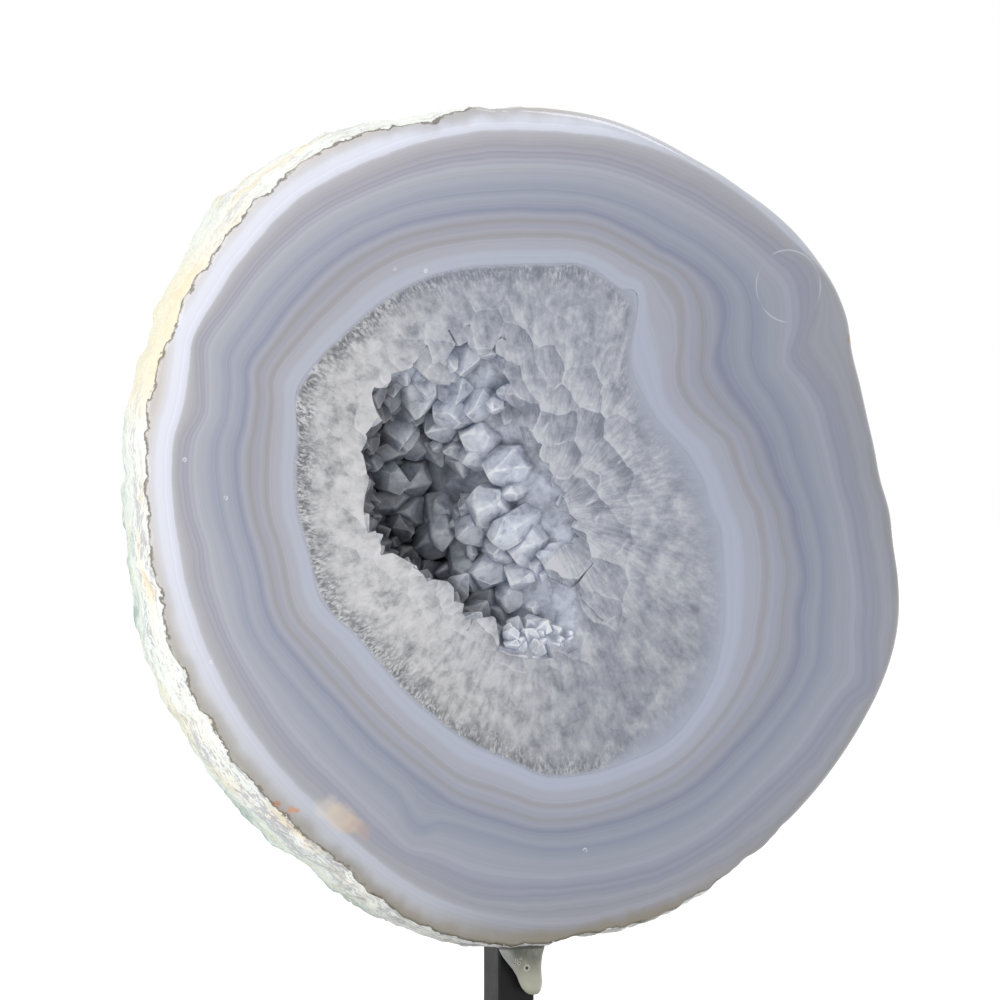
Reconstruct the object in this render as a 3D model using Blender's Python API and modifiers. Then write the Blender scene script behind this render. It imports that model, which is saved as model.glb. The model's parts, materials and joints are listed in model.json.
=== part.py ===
"""Half of an agate geode, cut and polished, glued upright to a square post on a base plate.

The polished face looks along -Y, +X is to its right and +Z is up. The origin is the centre of the
base plate's underside. Lengths are in metres, and outlines on the face are in millimetres.
"""

from math import cos, pi, radians, sin
from random import Random

import bmesh
import bpy
from mathutils import Matrix, Vector, noise

MM = 0.001

# Driving dimensions
FACE_Y = -0.034
FACE_CENTRE_X = -0.005
FACE_CENTRE_Z = 0.182
STONE_DEPTH = 0.082
SOCKET_DEPTH = 0.054
HOLLOW_DEPTH = 0.040
POST_SIDE = 0.010
POST_TOP = 0.076
BASE_SIDE = 0.140
BASE_THICKNESS = 0.010
TOUCH_GAP = 0.0003

# Outline of the polished face round its centre: angle in degrees from +X towards +Z, radius in mm
STONE_OUTLINE = (
    (0, 98.5), (15, 95.5), (24, 96.5), (34, 101), (50, 100.5), (65, 99), (80, 100.5), (100, 102),
    (115, 105), (133, 109), (155, 109), (170, 107.5), (185, 105.5), (200, 105), (220, 102.3),
    (235, 101.7), (250, 107.3), (265, 108.7), (285, 107.4), (300, 105.7), (315, 105.3),
    (335, 106.4), (347, 104.5),
)

# Where the banded agate ends and the quartz starts, round the same centre
QUARTZ_OUTLINE = (
    (0, 46), (15, 43), (35, 38.6), (50, 40.4), (58, 45), (63, 53), (67, 60), (80, 62.5), (95, 62),
    (115, 65), (135, 68.7), (155, 73), (165, 69), (185, 65.5), (200, 64), (215, 59), (228, 58),
    (245, 60), (260, 62.6), (275, 66.4), (297, 67.4), (312, 64.5), (328, 58.5), (345, 51),
)

# Mouth of the hollow, left of the middle of the face, round a centre of its own
MOUTH_CENTRE_X = -0.022
MOUTH_CENTRE_Z = 0.188
MOUTH_OUTLINE = (
    (0, 49), (30, 42), (57, 43), (86, 42.5), (110, 42), (122, 38.5), (140, 39.5), (152, 33.5),
    (168, 35.5), (178, 31), (200, 33.5), (216, 32.5), (230, 28), (248, 34), (263, 40.5),
    (275, 45), (292, 49), (310, 51), (331, 52),
)
DEEPEST_X = -0.030
DEEPEST_Z = 0.182

# Form of the stone
STONE_SIDES = 84
DOME_RINGS = 11
SOCKET_RINGS = 7
EDGE_ROUND = 0.0018
SIDE_FULLNESS = 0.90
FOOT_FULLNESS = 0.36
DOME_POWER = 0.92
SOCKET_FULLNESS = 0.72
LUMP_LAYERS = ((0.034, 0.0032), (0.016, 0.0014))
LUMP_FADE = 0.014

# Crystals of the crust
HOLLOW_SIDES = 36
HOLLOW_RINGS = 5
HOLLOW_WALL_POWER = 0.75
ROOT_ROWS = 16
ROOT_COLUMNS = 30
CRYSTAL_SPACING = 0.0105
CRYSTAL_WIDTHS = (0.0105, 0.0155)
CRYSTAL_LENGTHS = (0.007, 0.012)
CRYSTAL_ROOT = 0.006
CRYSTAL_TAPER = 0.92
CRYSTAL_POINT = 0.55
CRYSTAL_LEAN = 0.35
CRYSTAL_SEED = 7
GROWTH_BIAS = Vector((0.0, -0.25, 0.0))

# Glue drip: height, left edge and right edge along X, and how far it stands out from the post
GLUE_SIDES = 10
GLUE_ROWS = (
    (76.0, -7.0, 7.0, 5.0), (72.0, -6.4, 6.4, 4.4), (68.5, -4.8, 6.1, 3.7), (65.5, -2.6, 5.9, 3.2),
    (62.5, -0.3, 5.9, 2.8), (60.5, 1.2, 5.5, 2.3), (59.2, 2.3, 4.8, 1.5),
)
GLUE_TIP_Z = 0.0586

# Colours and finishes: base colour, roughness, metallic
FINISHES = {
    "banded_agate": ((0.46, 0.47, 0.52, 1.0), 0.12, 0.0),
    "clear_quartz": ((0.62, 0.64, 0.66, 1.0), 0.08, 0.0),
    "clear_epoxy": ((0.30, 0.30, 0.22, 1.0), 0.10, 0.0),
    "black_paint": ((0.020, 0.020, 0.022, 1.0), 0.45, 0.0),
}


def clear_scene():
    """Remove whatever the file holds."""
    for item in list(bpy.data.objects):
        bpy.data.objects.remove(item, do_unlink=True)


def new_collection(name):
    """A collection linked to the scene."""
    collection = bpy.data.collections.new(name)
    bpy.context.scene.collection.children.link(collection)
    return collection


def finish(name):
    """The Principled material of one finish."""
    colour, roughness, metallic = FINISHES[name]
    material = bpy.data.materials.new(name)
    material.use_nodes = True
    shader = material.node_tree.nodes["Principled BSDF"]
    shader.inputs["Base Color"].default_value = colour
    shader.inputs["Roughness"].default_value = roughness
    shader.inputs["Metallic"].default_value = metallic
    material.diffuse_color = colour
    return material


def object_from(bm, name, collection, material=None):
    """A closed mesh object from a bmesh, with its faces pointing out."""
    bmesh.ops.recalc_face_normals(bm, faces=bm.faces)
    mesh = bpy.data.meshes.new(name)
    bm.to_mesh(mesh)
    bm.free()
    if material:
        mesh.materials.append(material)
    item = bpy.data.objects.new(name, mesh)
    collection.objects.link(item)
    return item


def as_cutter(item):
    """Mark an object as a cutter or guide."""
    item.hide_render = True
    item.display_type = "WIRE"
    return item


def cut_by(item, cutter, name, overlapping=False):
    """Take a cutter's volume away from an object."""
    modifier = item.modifiers.new(name, "BOOLEAN")
    modifier.operation = "DIFFERENCE"
    modifier.solver = "EXACT"
    modifier.use_self = overlapping
    modifier.object = cutter


def outline_radius(outline, angle):
    """Radius at an angle on the smooth closed curve through an outline's points, in metres."""
    angle = angle % 360.0
    start = sum(1 for knot_angle, _ in outline if knot_angle <= angle) - 1

    def knot(index):
        turns, place = divmod(index, len(outline))
        return outline[place][0] + 360.0 * turns, outline[place][1]

    before, first, second, after = (knot(start + step) for step in (-1, 0, 1, 2))
    span = second[0] - first[0]
    part = (angle - first[0]) / span
    slope_in = (second[1] - before[1]) / (second[0] - before[0]) * span
    slope_out = (after[1] - first[1]) / (after[0] - first[0]) * span
    radius = (2 * part**3 - 3 * part**2 + 1) * first[1]
    radius += (part**3 - 2 * part**2 + part) * slope_in
    radius += (3 * part**2 - 2 * part**3) * second[1]
    radius += (part**3 - part**2) * slope_out
    return radius * MM


def face_point(angle, radius, depth, centre=(FACE_CENTRE_X, FACE_CENTRE_Z)):
    """A point at a radius round a centre on the face and a depth behind the polished face."""
    turn = radians(angle)
    return Vector((centre[0] + radius * cos(turn), FACE_Y + depth, centre[1] + radius * sin(turn)))


def loft(rings, first_pole, last_pole):
    """A closed bmesh through rings of equally many points, closed at both ends by a pole."""
    bm = bmesh.new()
    rows = [[bm.verts.new(point) for point in ring] for ring in rings]
    ends = (bm.verts.new(first_pole), bm.verts.new(last_pole))
    sides = len(rings[0])
    for side in range(sides):
        following = (side + 1) % sides
        bm.faces.new((ends[0], rows[0][following], rows[0][side]))
        bm.faces.new((ends[1], rows[-1][side], rows[-1][following]))
        for row, next_row in zip(rows, rows[1:]):
            bm.faces.new((row[side], row[following], next_row[following], next_row[side]))
    return bm


def fullness(angle, climb):
    """How square the stone's flank is: full over the post, rounder everywhere else."""
    over_post = max(0.0, cos(radians(angle - 270.0))) ** 2 * (1.0 - climb**2)
    return SIDE_FULLNESS + (FOOT_FULLNESS - SIDE_FULLNESS) * over_post


def lumps(point, depth):
    """Height of the rind's lumps at a point, fading out towards the polished face."""
    height = 0.0
    for wavelength, amplitude in LUMP_LAYERS:
        height += amplitude * (noise.noise(point / wavelength) - 0.35)
    return height * min(1.0, depth / LUMP_FADE)


def dome_point(angle, climb):
    """A point of the rough outside: climb is 0 at the face's edge and 1 at the back."""
    swing = climb * pi / 2
    radius = outline_radius(STONE_OUTLINE, angle) * max(0.0, cos(swing)) ** fullness(angle, climb)
    depth = EDGE_ROUND + (STONE_DEPTH - EDGE_ROUND) * sin(swing) ** DOME_POWER
    point = face_point(angle, radius, depth)
    outwards = (point - face_point(0.0, 0.0, STONE_DEPTH / 4)).normalized()
    return point + outwards * lumps(point, depth - EDGE_ROUND)


def socket_point(angle, climb, shrink=0.0):
    """A point of the socket's wall, or of the crust that fills it with a small gap."""
    swing = climb * pi / 2
    radius = outline_radius(QUARTZ_OUTLINE, angle) * max(0.0, cos(swing)) ** SOCKET_FULLNESS
    depth = SOCKET_DEPTH * sin(swing)
    return face_point(angle, radius * (1.0 - shrink), depth * (1.0 - shrink))


def ring(point_at, *place):
    """One ring of points round the stone."""
    step = 360.0 / STONE_SIDES
    return [point_at(step * side, *place) for side in range(STONE_SIDES)]


def polished_edge(angle, inset, depth):
    """A point of the rounded edge between the polished face and the rind."""
    return face_point(angle, outline_radius(STONE_OUTLINE, angle) - inset, depth)


def build_agate(parts, cutters):
    """The stone: a domed rough outside, a flat polished face and the socket for the quartz."""
    rings = [ring(dome_point, 1.0 - row / DOME_RINGS) for row in range(1, DOME_RINGS)]
    rings.append(ring(polished_edge, 0.0, EDGE_ROUND))
    rings.append(ring(polished_edge, 0.25 * EDGE_ROUND, 0.35 * EDGE_ROUND))
    rings.append(ring(polished_edge, EDGE_ROUND, 0.0))
    rings += [ring(socket_point, row / SOCKET_RINGS) for row in range(SOCKET_RINGS)]
    bm = loft(rings, dome_point(0.0, 1.0), socket_point(0.0, 1.0))
    stone = object_from(bm, "agate_body", parts, finish("banded_agate"))
    stone.data.shade_smooth()
    stone.data.set_sharp_from_angle(angle=radians(30))
    cut_by(stone, build_seat_cutter(cutters), "seat")
    return stone


def build_seat_cutter(cutters):
    """The flat spot ground into the stone's underside, over the post and the glue."""
    low_corner = Vector((-0.0085, -0.0115, POST_TOP - 0.015))
    high_corner = Vector((0.0085, 0.0070, POST_TOP + TOUCH_GAP))
    return as_cutter(build_box("seat_cutter", low_corner, high_corner, cutters))


def build_box(name, low, high, collection, material=None):
    """A box between two corners."""
    bm = bmesh.new()
    bmesh.ops.create_cube(bm, size=1.0)
    bmesh.ops.scale(bm, vec=high - low, verts=bm.verts)
    bmesh.ops.translate(bm, vec=(low + high) / 2, verts=bm.verts)
    return object_from(bm, name, collection, material)


def hollow_point(angle, climb):
    """A point of the hollow's bare wall: climb is 0 at the mouth and 1 at the deepest point."""
    radius = outline_radius(MOUTH_OUTLINE, angle)
    mouth = face_point(angle, radius, 0.0, (MOUTH_CENTRE_X, MOUTH_CENTRE_Z))
    point = mouth.lerp(Vector((DEEPEST_X, FACE_Y, DEEPEST_Z)), climb)
    point.y += HOLLOW_DEPTH * climb**HOLLOW_WALL_POWER
    return point


def hollow_normal(angle, climb):
    """The direction that the hollow's wall faces, into the hollow."""
    along = hollow_point(angle + 2.0, climb) - hollow_point(angle - 2.0, climb)
    down = hollow_point(angle, climb + 0.02) - hollow_point(angle, climb - 0.01)
    return along.cross(down).normalized()


def add_crystal(bm, root, direction, width, length, spin):
    """Add one six-sided crystal with a pyramid tip to a bmesh."""
    prism_length = length + CRYSTAL_ROOT - width / 2
    to_length = Matrix.Translation((0.0, 0.0, prism_length / 2 - CRYSTAL_ROOT))
    to_wall = Matrix.Translation(root) @ direction.to_track_quat("Z", "X").to_matrix().to_4x4()
    place = to_wall @ Matrix.Rotation(spin, 4, "Z") @ to_length
    prism = bmesh.ops.create_cone(
        bm, cap_ends=True, segments=6, radius1=width / 2, radius2=width / 2 * CRYSTAL_TAPER,
        depth=prism_length, matrix=place,
    )
    shoulder = root + direction * (prism_length - CRYSTAL_ROOT)
    faces = {face for vert in prism["verts"] for face in vert.link_faces if len(face.verts) == 6}
    top = min(faces, key=lambda face: (face.calc_center_median() - shoulder).length)
    tip = bmesh.ops.poke(bm, faces=[top])["verts"][0]
    tip.co += direction * width * CRYSTAL_POINT


def crystal_roots(draw):
    """Places on the hollow's wall as (angle, climb), from the mouth down, a crystal apart."""
    places = []
    points = []
    for row in range(ROOT_ROWS):
        for column in range(ROOT_COLUMNS):
            angle = 360.0 * (column + draw.random()) / ROOT_COLUMNS
            climb = 0.012 + 0.97 * (row + draw.uniform(0.0, 0.6)) / ROOT_ROWS
            point = hollow_point(angle, climb)
            if all((point - other).length > CRYSTAL_SPACING for other in points):
                places.append((angle, climb))
                points.append(point)
    return places


def build_crystal_growth(cutters):
    """All the crystals that line the hollow, rooted in its wall."""
    draw = Random(CRYSTAL_SEED)
    bm = bmesh.new()
    for angle, climb in crystal_roots(draw):
        lean = Vector([draw.uniform(-CRYSTAL_LEAN, CRYSTAL_LEAN) for _ in range(3)])
        direction = (hollow_normal(angle, climb) + GROWTH_BIAS + lean).normalized()
        width = draw.uniform(*CRYSTAL_WIDTHS)
        length = draw.uniform(*CRYSTAL_LENGTHS)
        add_crystal(bm, hollow_point(angle, climb), direction, width, length, draw.uniform(0.0, pi / 3))
    return as_cutter(object_from(bm, "crystal_growth", cutters))


def keep_largest_shell(item):
    """Drop pockets closed off between crystals, so that only the open hollow is left."""
    bm = bmesh.new()
    bm.from_mesh(item.data)
    shells = []
    unseen = set(bm.verts)
    while unseen:
        shell = set()
        front = [unseen.pop()]
        while front:
            vert = front.pop()
            shell.add(vert)
            for edge in vert.link_edges:
                other = edge.other_vert(vert)
                if other in unseen:
                    unseen.remove(other)
                    front.append(other)
        shells.append(shell)
    largest = max(shells, key=len)
    bmesh.ops.delete(bm, geom=[v for v in bm.verts if v not in largest], context="VERTS")
    bm.to_mesh(item.data)
    bm.free()


def build_open_hollow(cutters):
    """The empty space of the hollow: its bare form less the crystals."""
    step = 360.0 / HOLLOW_SIDES
    rings = []
    for row in range(HOLLOW_RINGS + 1):
        climb = row / (HOLLOW_RINGS + 1)
        rings.append([hollow_point(step * side, climb) for side in range(HOLLOW_SIDES)])
    out_of_face = Vector((0.0, -0.005, 0.0))
    rings.insert(0, [point + out_of_face for point in rings[0]])
    outer_pole = Vector((MOUTH_CENTRE_X, FACE_Y, MOUTH_CENTRE_Z)) + out_of_face
    bare = object_from(loft(rings, outer_pole, hollow_point(0.0, 1.0)), "bare_hollow", cutters)
    cut_by(as_cutter(bare), build_crystal_growth(cutters), "crystals", overlapping=True)
    bpy.context.view_layer.update()
    evaluated = bare.evaluated_get(bpy.context.evaluated_depsgraph_get())
    mesh = bpy.data.meshes.new_from_object(evaluated)
    hollow = bpy.data.objects.new("open_hollow", mesh)
    cutters.objects.link(hollow)
    keep_largest_shell(hollow)
    return as_cutter(hollow)


def build_crust(parts, cutters):
    """The quartz: a bowl that fills the socket, flush with the face, less the open hollow."""
    shrink = TOUCH_GAP / 0.050
    rings = [ring(socket_point, row / SOCKET_RINGS, shrink) for row in range(SOCKET_RINGS)]
    bm = loft(rings, face_point(0.0, 0.0, 0.0), socket_point(0.0, 1.0, shrink))
    crust = object_from(bm, "quartz_crust", parts, finish("clear_quartz"))
    cut_by(crust, build_open_hollow(cutters), "hollow")
    return crust


def build_glue(parts):
    """The drip of glue on the front of the post, under the stone."""
    back_y = -POST_SIDE / 2 - TOUCH_GAP
    rings = []
    for height, left, right, bulge in GLUE_ROWS:
        section = []
        for side in range(GLUE_SIDES + 1):
            turn = pi * side / GLUE_SIDES
            x = (left + right) / 2 * MM + (right - left) / 2 * MM * cos(turn)
            section.append(Vector((x, back_y - bulge * MM * sin(turn), height * MM)))
        rings.append(section)
    top = Vector((0.0, back_y - 0.002, GLUE_ROWS[0][0] * MM))
    tip_row = GLUE_ROWS[-1]
    tip = Vector(((tip_row[1] + tip_row[2]) / 2 * MM, back_y - 0.0006, GLUE_TIP_Z))
    glue = object_from(loft(rings, top, tip), "epoxy_glue", parts, finish("clear_epoxy"))
    glue.data.shade_smooth()
    glue.data.set_sharp_from_angle(angle=radians(40))
    return glue


def build_stand(parts):
    """The square post and the base plate under it."""
    paint = finish("black_paint")
    half = POST_SIDE / 2
    bottom = BASE_THICKNESS + TOUCH_GAP
    post = build_box(
        "stand_post", Vector((-half, -half, bottom)), Vector((half, half, POST_TOP)), parts, paint
    )
    plate_half = BASE_SIDE / 2
    plate = build_box(
        "stand_base", Vector((-plate_half, -plate_half, 0.0)),
        Vector((plate_half, plate_half, BASE_THICKNESS)), parts, paint,
    )
    for item, width in ((post, 0.0006), (plate, 0.0012)):
        bevel = item.modifiers.new("worn_edges", "BEVEL")
        bevel.width = width
        bevel.segments = 2
        bevel.limit_method = "ANGLE"


def main():
    clear_scene()
    parts = new_collection("agate_geode")
    cutters = new_collection("cutters")
    build_agate(parts, cutters)
    build_crust(parts, cutters)
    build_glue(parts)
    build_stand(parts)


main()
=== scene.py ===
"""Looks of the agate geode: its banded polished face, rough rind, quartz-lined hollow and stand.

Lengths are in metres in the model's own frame: the polished face looks along -Y, +X is to its
right and +Z is up. Radii on the face were read off the photo and are in millimetres.
"""

import json
from math import cos, pi, radians, sin
from random import Random

import bmesh
import bpy
import numpy as np
from mathutils import Matrix, Vector, noise

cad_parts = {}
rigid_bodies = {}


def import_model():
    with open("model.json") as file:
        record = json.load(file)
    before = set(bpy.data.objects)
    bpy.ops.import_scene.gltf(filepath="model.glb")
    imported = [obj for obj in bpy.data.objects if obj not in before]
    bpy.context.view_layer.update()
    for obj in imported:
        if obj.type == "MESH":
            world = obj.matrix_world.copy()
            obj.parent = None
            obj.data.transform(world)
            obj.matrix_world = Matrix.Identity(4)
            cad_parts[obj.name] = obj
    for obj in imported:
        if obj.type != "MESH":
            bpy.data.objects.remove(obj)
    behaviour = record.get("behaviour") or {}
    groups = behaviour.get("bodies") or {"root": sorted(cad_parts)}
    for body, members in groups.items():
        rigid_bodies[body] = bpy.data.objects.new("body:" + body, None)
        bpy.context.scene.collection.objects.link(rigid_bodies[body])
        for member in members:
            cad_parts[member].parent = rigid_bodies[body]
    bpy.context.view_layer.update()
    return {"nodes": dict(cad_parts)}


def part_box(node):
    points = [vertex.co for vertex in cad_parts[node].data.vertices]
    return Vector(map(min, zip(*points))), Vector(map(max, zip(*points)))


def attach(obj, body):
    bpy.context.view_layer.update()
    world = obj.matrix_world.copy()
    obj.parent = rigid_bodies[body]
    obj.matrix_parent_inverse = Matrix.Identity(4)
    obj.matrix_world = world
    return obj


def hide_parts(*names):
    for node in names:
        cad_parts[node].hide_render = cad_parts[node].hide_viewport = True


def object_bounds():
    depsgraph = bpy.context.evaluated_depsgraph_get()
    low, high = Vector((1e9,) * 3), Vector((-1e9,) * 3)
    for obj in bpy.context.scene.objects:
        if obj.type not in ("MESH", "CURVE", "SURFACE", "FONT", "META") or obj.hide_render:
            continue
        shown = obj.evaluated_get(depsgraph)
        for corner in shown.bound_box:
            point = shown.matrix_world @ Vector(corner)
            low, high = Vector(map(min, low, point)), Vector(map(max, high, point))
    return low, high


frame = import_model()

MM = 0.001

# Camera: it looks level at the face from its left, from far away
CAMERA_AZIMUTH = radians(-24.0)
CAMERA_DISTANCE = 1.200
CAMERA_HEIGHT = 0.1849
CAMERA_ASIDE = -0.00224
CAMERA_LENS = 168.5
CAMERA_SENSOR = 36.0

# The stone's frame: the polished plane, the centre that all outlines turn round, and depths
FACE_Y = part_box("agate_body")[0].y
STONE_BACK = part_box("agate_body")[1].y
FACE_CENTRE = (-0.005, 0.182)
STONE_DEPTH = 0.082
SOCKET_DEPTH = 0.054
SOCKET_FULLNESS = 0.72
SIDE_FULLNESS = 0.90
FOOT_FULLNESS = 0.36
DOME_POWER = 0.92
LUMP_LAYERS = ((0.034, 0.0032), (0.016, 0.0014))
LUMP_FADE = 0.014
# How far the rind swells out past the face's edge, in mm by angle, most at this depth behind it
FLARE = (
    (60, 0.0), (95, 0.3), (100, 1.2), (110, 5.6), (130, 5.6), (140, 4.6), (150, 3.2), (160, 1.8),
    (170, 2.8), (180, 2.6), (190, 3.6), (200, 3.0), (210, 3.6), (220, 5.8), (240, 4.2), (250, 2.0),
    (262, 2.6), (272, 3.0), (285, 5.0), (296, 4.6), (306, 2.0), (318, 0.0),
)
FLARE_DEPTH = 0.024
TOUCH_GAP = 0.0003

# Bands on the face by angle in degrees: radii in mm of the quartz's edge, the tan line, the blue
# line, the faint middle line, the mauve pair of lines, the white layer and the face's own edge.
# Where a band lies past the face's edge its radius is larger than the last one.
BANDS = (
    (0, 46, 60, 69.3, 75.5, 89.3, 100.5, 98.7),
    (5, 45.2, 57.5, 66.5, 73.5, 87, 98.5, 96.4),
    (10, 44.5, 55.8, 64.8, 72, 86.5, 97.5, 95.7),
    (15, 43, 55.2, 64, 71.5, 86, 97, 95.4),
    (20, 42, 54.8, 63, 71, 86, 97.5, 95.9),
    (25, 40.7, 52, 61.5, 70, 84, 98.5, 96.9),
    (30, 39.5, 50, 60.5, 69, 83, 100, 99.6),
    (35, 38.6, 49.3, 60.2, 70.5, 92.5, 100.5, 100.9),
    (40, 38.6, 49.8, 62.5, 76, 96.5, 99, 101.1),
    (45, 39.3, 53, 70.5, 79.5, 94.5, 98, 101),
    (50, 40.4, 60, 73.8, 80.5, 93, 97.5, 100.4),
    (55, 42, 66, 74.2, 80.5, 92, 97.2, 99.6),
    (60, 47, 68, 74, 80.3, 91.5, 97, 99.3),
    (65, 59.8, 67.8, 73.8, 80, 91.2, 96.8, 99.1),
    (70, 59.6, 68.3, 74.5, 80.3, 91, 96.5, 99.5),
    (80, 62.5, 69.7, 75.8, 80.5, 91.2, 95.5, 100.5),
    (90, 61.8, 69.5, 75.2, 80.5, 90.5, 95, 101),
    (100, 62.3, 70.2, 76.2, 80.8, 91.5, 96, 102),
    (110, 64.3, 72, 78, 83, 92.8, 97, 102.9),
    (120, 66.4, 74.6, 80.8, 85.5, 94.3, 98.6, 106.2),
    (130, 68.1, 76.5, 83.2, 88, 96.8, 100.9, 108),
    (140, 69.4, 77.5, 84.7, 90, 98.3, 101.5, 108.7),
    (150, 71.9, 79.8, 85.8, 91.5, 99.5, 102, 108.9),
    (156, 73, 80.9, 87.2, 92.5, 101.3, 102.5, 108.9),
    (160, 71.2, 78.5, 85, 90, 98.5, 100.7, 108.7),
    (165, 69.1, 77.2, 83.6, 88.5, 95.5, 99.5, 108.2),
    (170, 68.4, 76.3, 83.9, 89.3, 98, 100, 107.6),
    (180, 66.7, 74.8, 81.2, 86.5, 96.2, 98.5, 105.5),
    (185, 65.5, 73, 79.5, 85, 93.6, 97.6, 105.7),
    (190, 64.4, 72, 78.3, 83.5, 93.8, 97, 104.4),
    (200, 64.1, 72.2, 78.3, 83.8, 92, 96, 104.8),
    (210, 59.8, 68.6, 75, 80.8, 91, 95, 103.1),
    (220, 58.4, 67, 73, 79, 91, 94.5, 102.3),
    (230, 58.7, 67, 73.1, 79.5, 90.5, 94.5, 102.4),
    (240, 59.4, 67.8, 74, 80.5, 93.3, 96.3, 103.7),
    (246, 60.3, 69.3, 75.2, 85.5, 94, 98, 105.6),
    (250, 61.1, 70.4, 76.5, 82, 94.5, 99.3, 107.3),
    (260, 62.6, 71.3, 77.8, 82, 96.8, 101, 108.5),
    (270, 66, 74, 79.9, 84.2, 96, 102.5, 108.2),
    (280, 66.7, 74.2, 80, 84.8, 96.3, 102.7, 107.3),
    (290, 66.7, 74, 80.3, 85.3, 97.5, 102.7, 106.9),
    (300, 67.1, 74, 81, 86, 97, 104.5, 105.7),
    (310, 65.1, 72.5, 80, 85.4, 96.5, 107, 105.3),
    (320, 61.9, 71, 80.3, 85.5, 98, 107.5, 105.5),
    (330, 57.3, 69, 80.5, 86, 99.5, 108, 106),
    (334, 55.5, 67.5, 79, 85.5, 103, 108, 106.3),
    (340, 53, 66, 75.5, 82.5, 98.5, 107.5, 106.2),
    (345, 51.2, 64.5, 75.2, 81, 96.5, 106, 105.1),
    (350, 49.8, 63, 73.5, 79.5, 93.5, 104, 102.9),
    (355, 48.7, 61.5, 70.5, 77.5, 91, 102, 100.3),
)
# Place of each band across the agate, 0 at the quartz and 1 about 40 mm further out
BAND_PLACES = (0.0, 0.2, 0.3625, 0.5, 0.7375, 0.8125)
BAND_SPAN = 40.0

# Colours across the bands, by place in mm from the quartz to the face's edge
BAND_COLOURS = (
    (0.0, (172, 176, 187)), (0.8, (180, 184, 196)), (2.8, (180, 184, 196)),
    (4.3, (173, 174, 182)), (5.8, (173, 174, 183)), (6.7, (168, 168, 175)),
    (7.3, (158, 156, 158)), (8.0, (163, 162, 167)), (8.8, (169, 169, 178)),
    (9.7, (161, 163, 175)), (10.6, (161, 161, 168)), (11.3, (155, 154, 158)),
    (12.3, (168, 170, 181)), (13.3, (168, 170, 184)), (14.1, (154, 158, 175)),
    (14.6, (147, 153, 172)), (15.2, (157, 162, 179)), (17.0, (166, 170, 183)),
    (18.5, (169, 174, 187)), (19.3, (162, 167, 182)), (19.9, (154, 160, 177)),
    (20.7, (164, 169, 184)), (22.5, (171, 175, 187)), (24.5, (180, 182, 192)),
    (25.6, (181, 183, 193)), (26.3, (174, 175, 188)), (26.8, (180, 181, 191)),
    (27.4, (166, 167, 181)), (27.9, (174, 175, 186)), (28.5, (164, 163, 177)),
    (29.0, (176, 176, 186)), (29.8, (172, 171, 180)), (30.6, (177, 176, 183)),
    (31.2, (184, 183, 189)), (32.2, (190, 190, 197)),
    (32.7, (221, 224, 235)), (33.6, (231, 235, 248)), (36.4, (232, 235, 246)),
    (37.6, (225, 225, 230)), (38.8, (218, 215, 214)), (40.0, (209, 205, 200)),
)
# The same where the milky outer layer is missing, at the bottom and on the right
DULL_COLOURS = (
    (20.0, (154, 160, 177)), (20.7, (164, 169, 184)), (22.5, (171, 175, 187)),
    (25.6, (178, 181, 193)), (27.8, (161, 162, 178)), (28.4, (170, 172, 184)),
    (29.1, (158, 161, 176)), (30.4, (176, 177, 186)), (31.2, (168, 168, 177)),
    (32.6, (182, 181, 188)), (33.8, (170, 170, 178)), (34.8, (164, 162, 162)),
    (36.2, (154, 149, 140)), (38.0, (170, 167, 162)), (40.0, (176, 173, 168)),
)
# How strong the milky layer is, by angle
MILK = (
    (0, 0.35), (30, 0.6), (60, 0.95), (90, 1.0), (150, 1.0), (185, 0.95), (205, 0.8), (225, 0.62),
    (250, 0.5), (264, 0.12), (280, 0.0), (300, 0.1), (330, 0.2),
)
# How strong the olive zone inside the face's edge is, by angle
OLIVE = (
    (0, 0.3), (40, 0.25), (80, 0.3), (105, 0.45), (125, 0.1), (150, 0.0), (185, 0.05), (200, 0.35),
    (225, 0.45), (250, 0.75), (283, 0.9), (300, 0.4), (330, 0.35),
)
# Light the agate takes up at its upper left and at its lower right, there less than near the quartz
AGATE_LIGHT_SIDE = (0.987, 0.969, 0.960, 1.0)
AGATE_DARK_SIDE = (0.567, 0.589, 0.623, 1.0)
AGATE_DARK_INSIDE = (0.700, 0.730, 0.795, 1.0)
# Painted light on the quartz's cut, less of it toward the cut's lower right, and an even tone for the
# crystals
QUARTZ_LIGHT = (0.78, 0.77, 0.77, 1.0)
QUARTZ_LOW_LIGHT = (0.63, 0.62, 0.62, 1.0)
CRYSTAL_LIGHT = (0.90, 0.92, 0.96, 1.0)

# On the right, where the edge is polished round, the rind starts this far behind the face, in mm
RIND_START = 9.0
# Flaws on the face, in mm: rust spots with their radius, strength and colour, tiny pale rings, a
# faint arc with its radius, and the middle of the rind's yellow patch
RUST_SPOTS = (
    (-77.2, 110.6, 1.2, 0.8, (176, 116, 78)), (-72.9, 109.2, 1.3, 0.8, (192, 138, 104)),
    (-63.5, 109.4, 4.0, 0.35, (216, 206, 190)), (-60.4, 107.6, 4.2, 0.45, (216, 196, 170)),
    (-57.4, 105.4, 3.4, 0.45, (206, 178, 148)), (-54.6, 103.8, 2.4, 0.40, (176, 150, 134)),
    (82.0, 226.0, 2.2, 0.9, (138, 108, 84)),
)
TINY_RINGS = (
    (-100.8, 194.6), (-90.2, 185.4), (-76.4, 255.6), (-37.6, 241.4), (-45.7, 241.7),
    (-93.8, 145.7), (-98.7, 149.4), (5.7, 97.3),
)
FAINT_ARC = (63.0, 239.5, 9.2)
YELLOW_PATCH = (-100.0, 226.0)

# Mesh fineness
STONE_SIDES = 600
FACE_RINGS = 48
EDGE_RINGS = 6
DOME_RINGS = 92
SOCKET_RINGS = 6
BOWL_SIDES = 300
BOWL_RINGS = 14
SEAM = 0.00002

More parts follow.
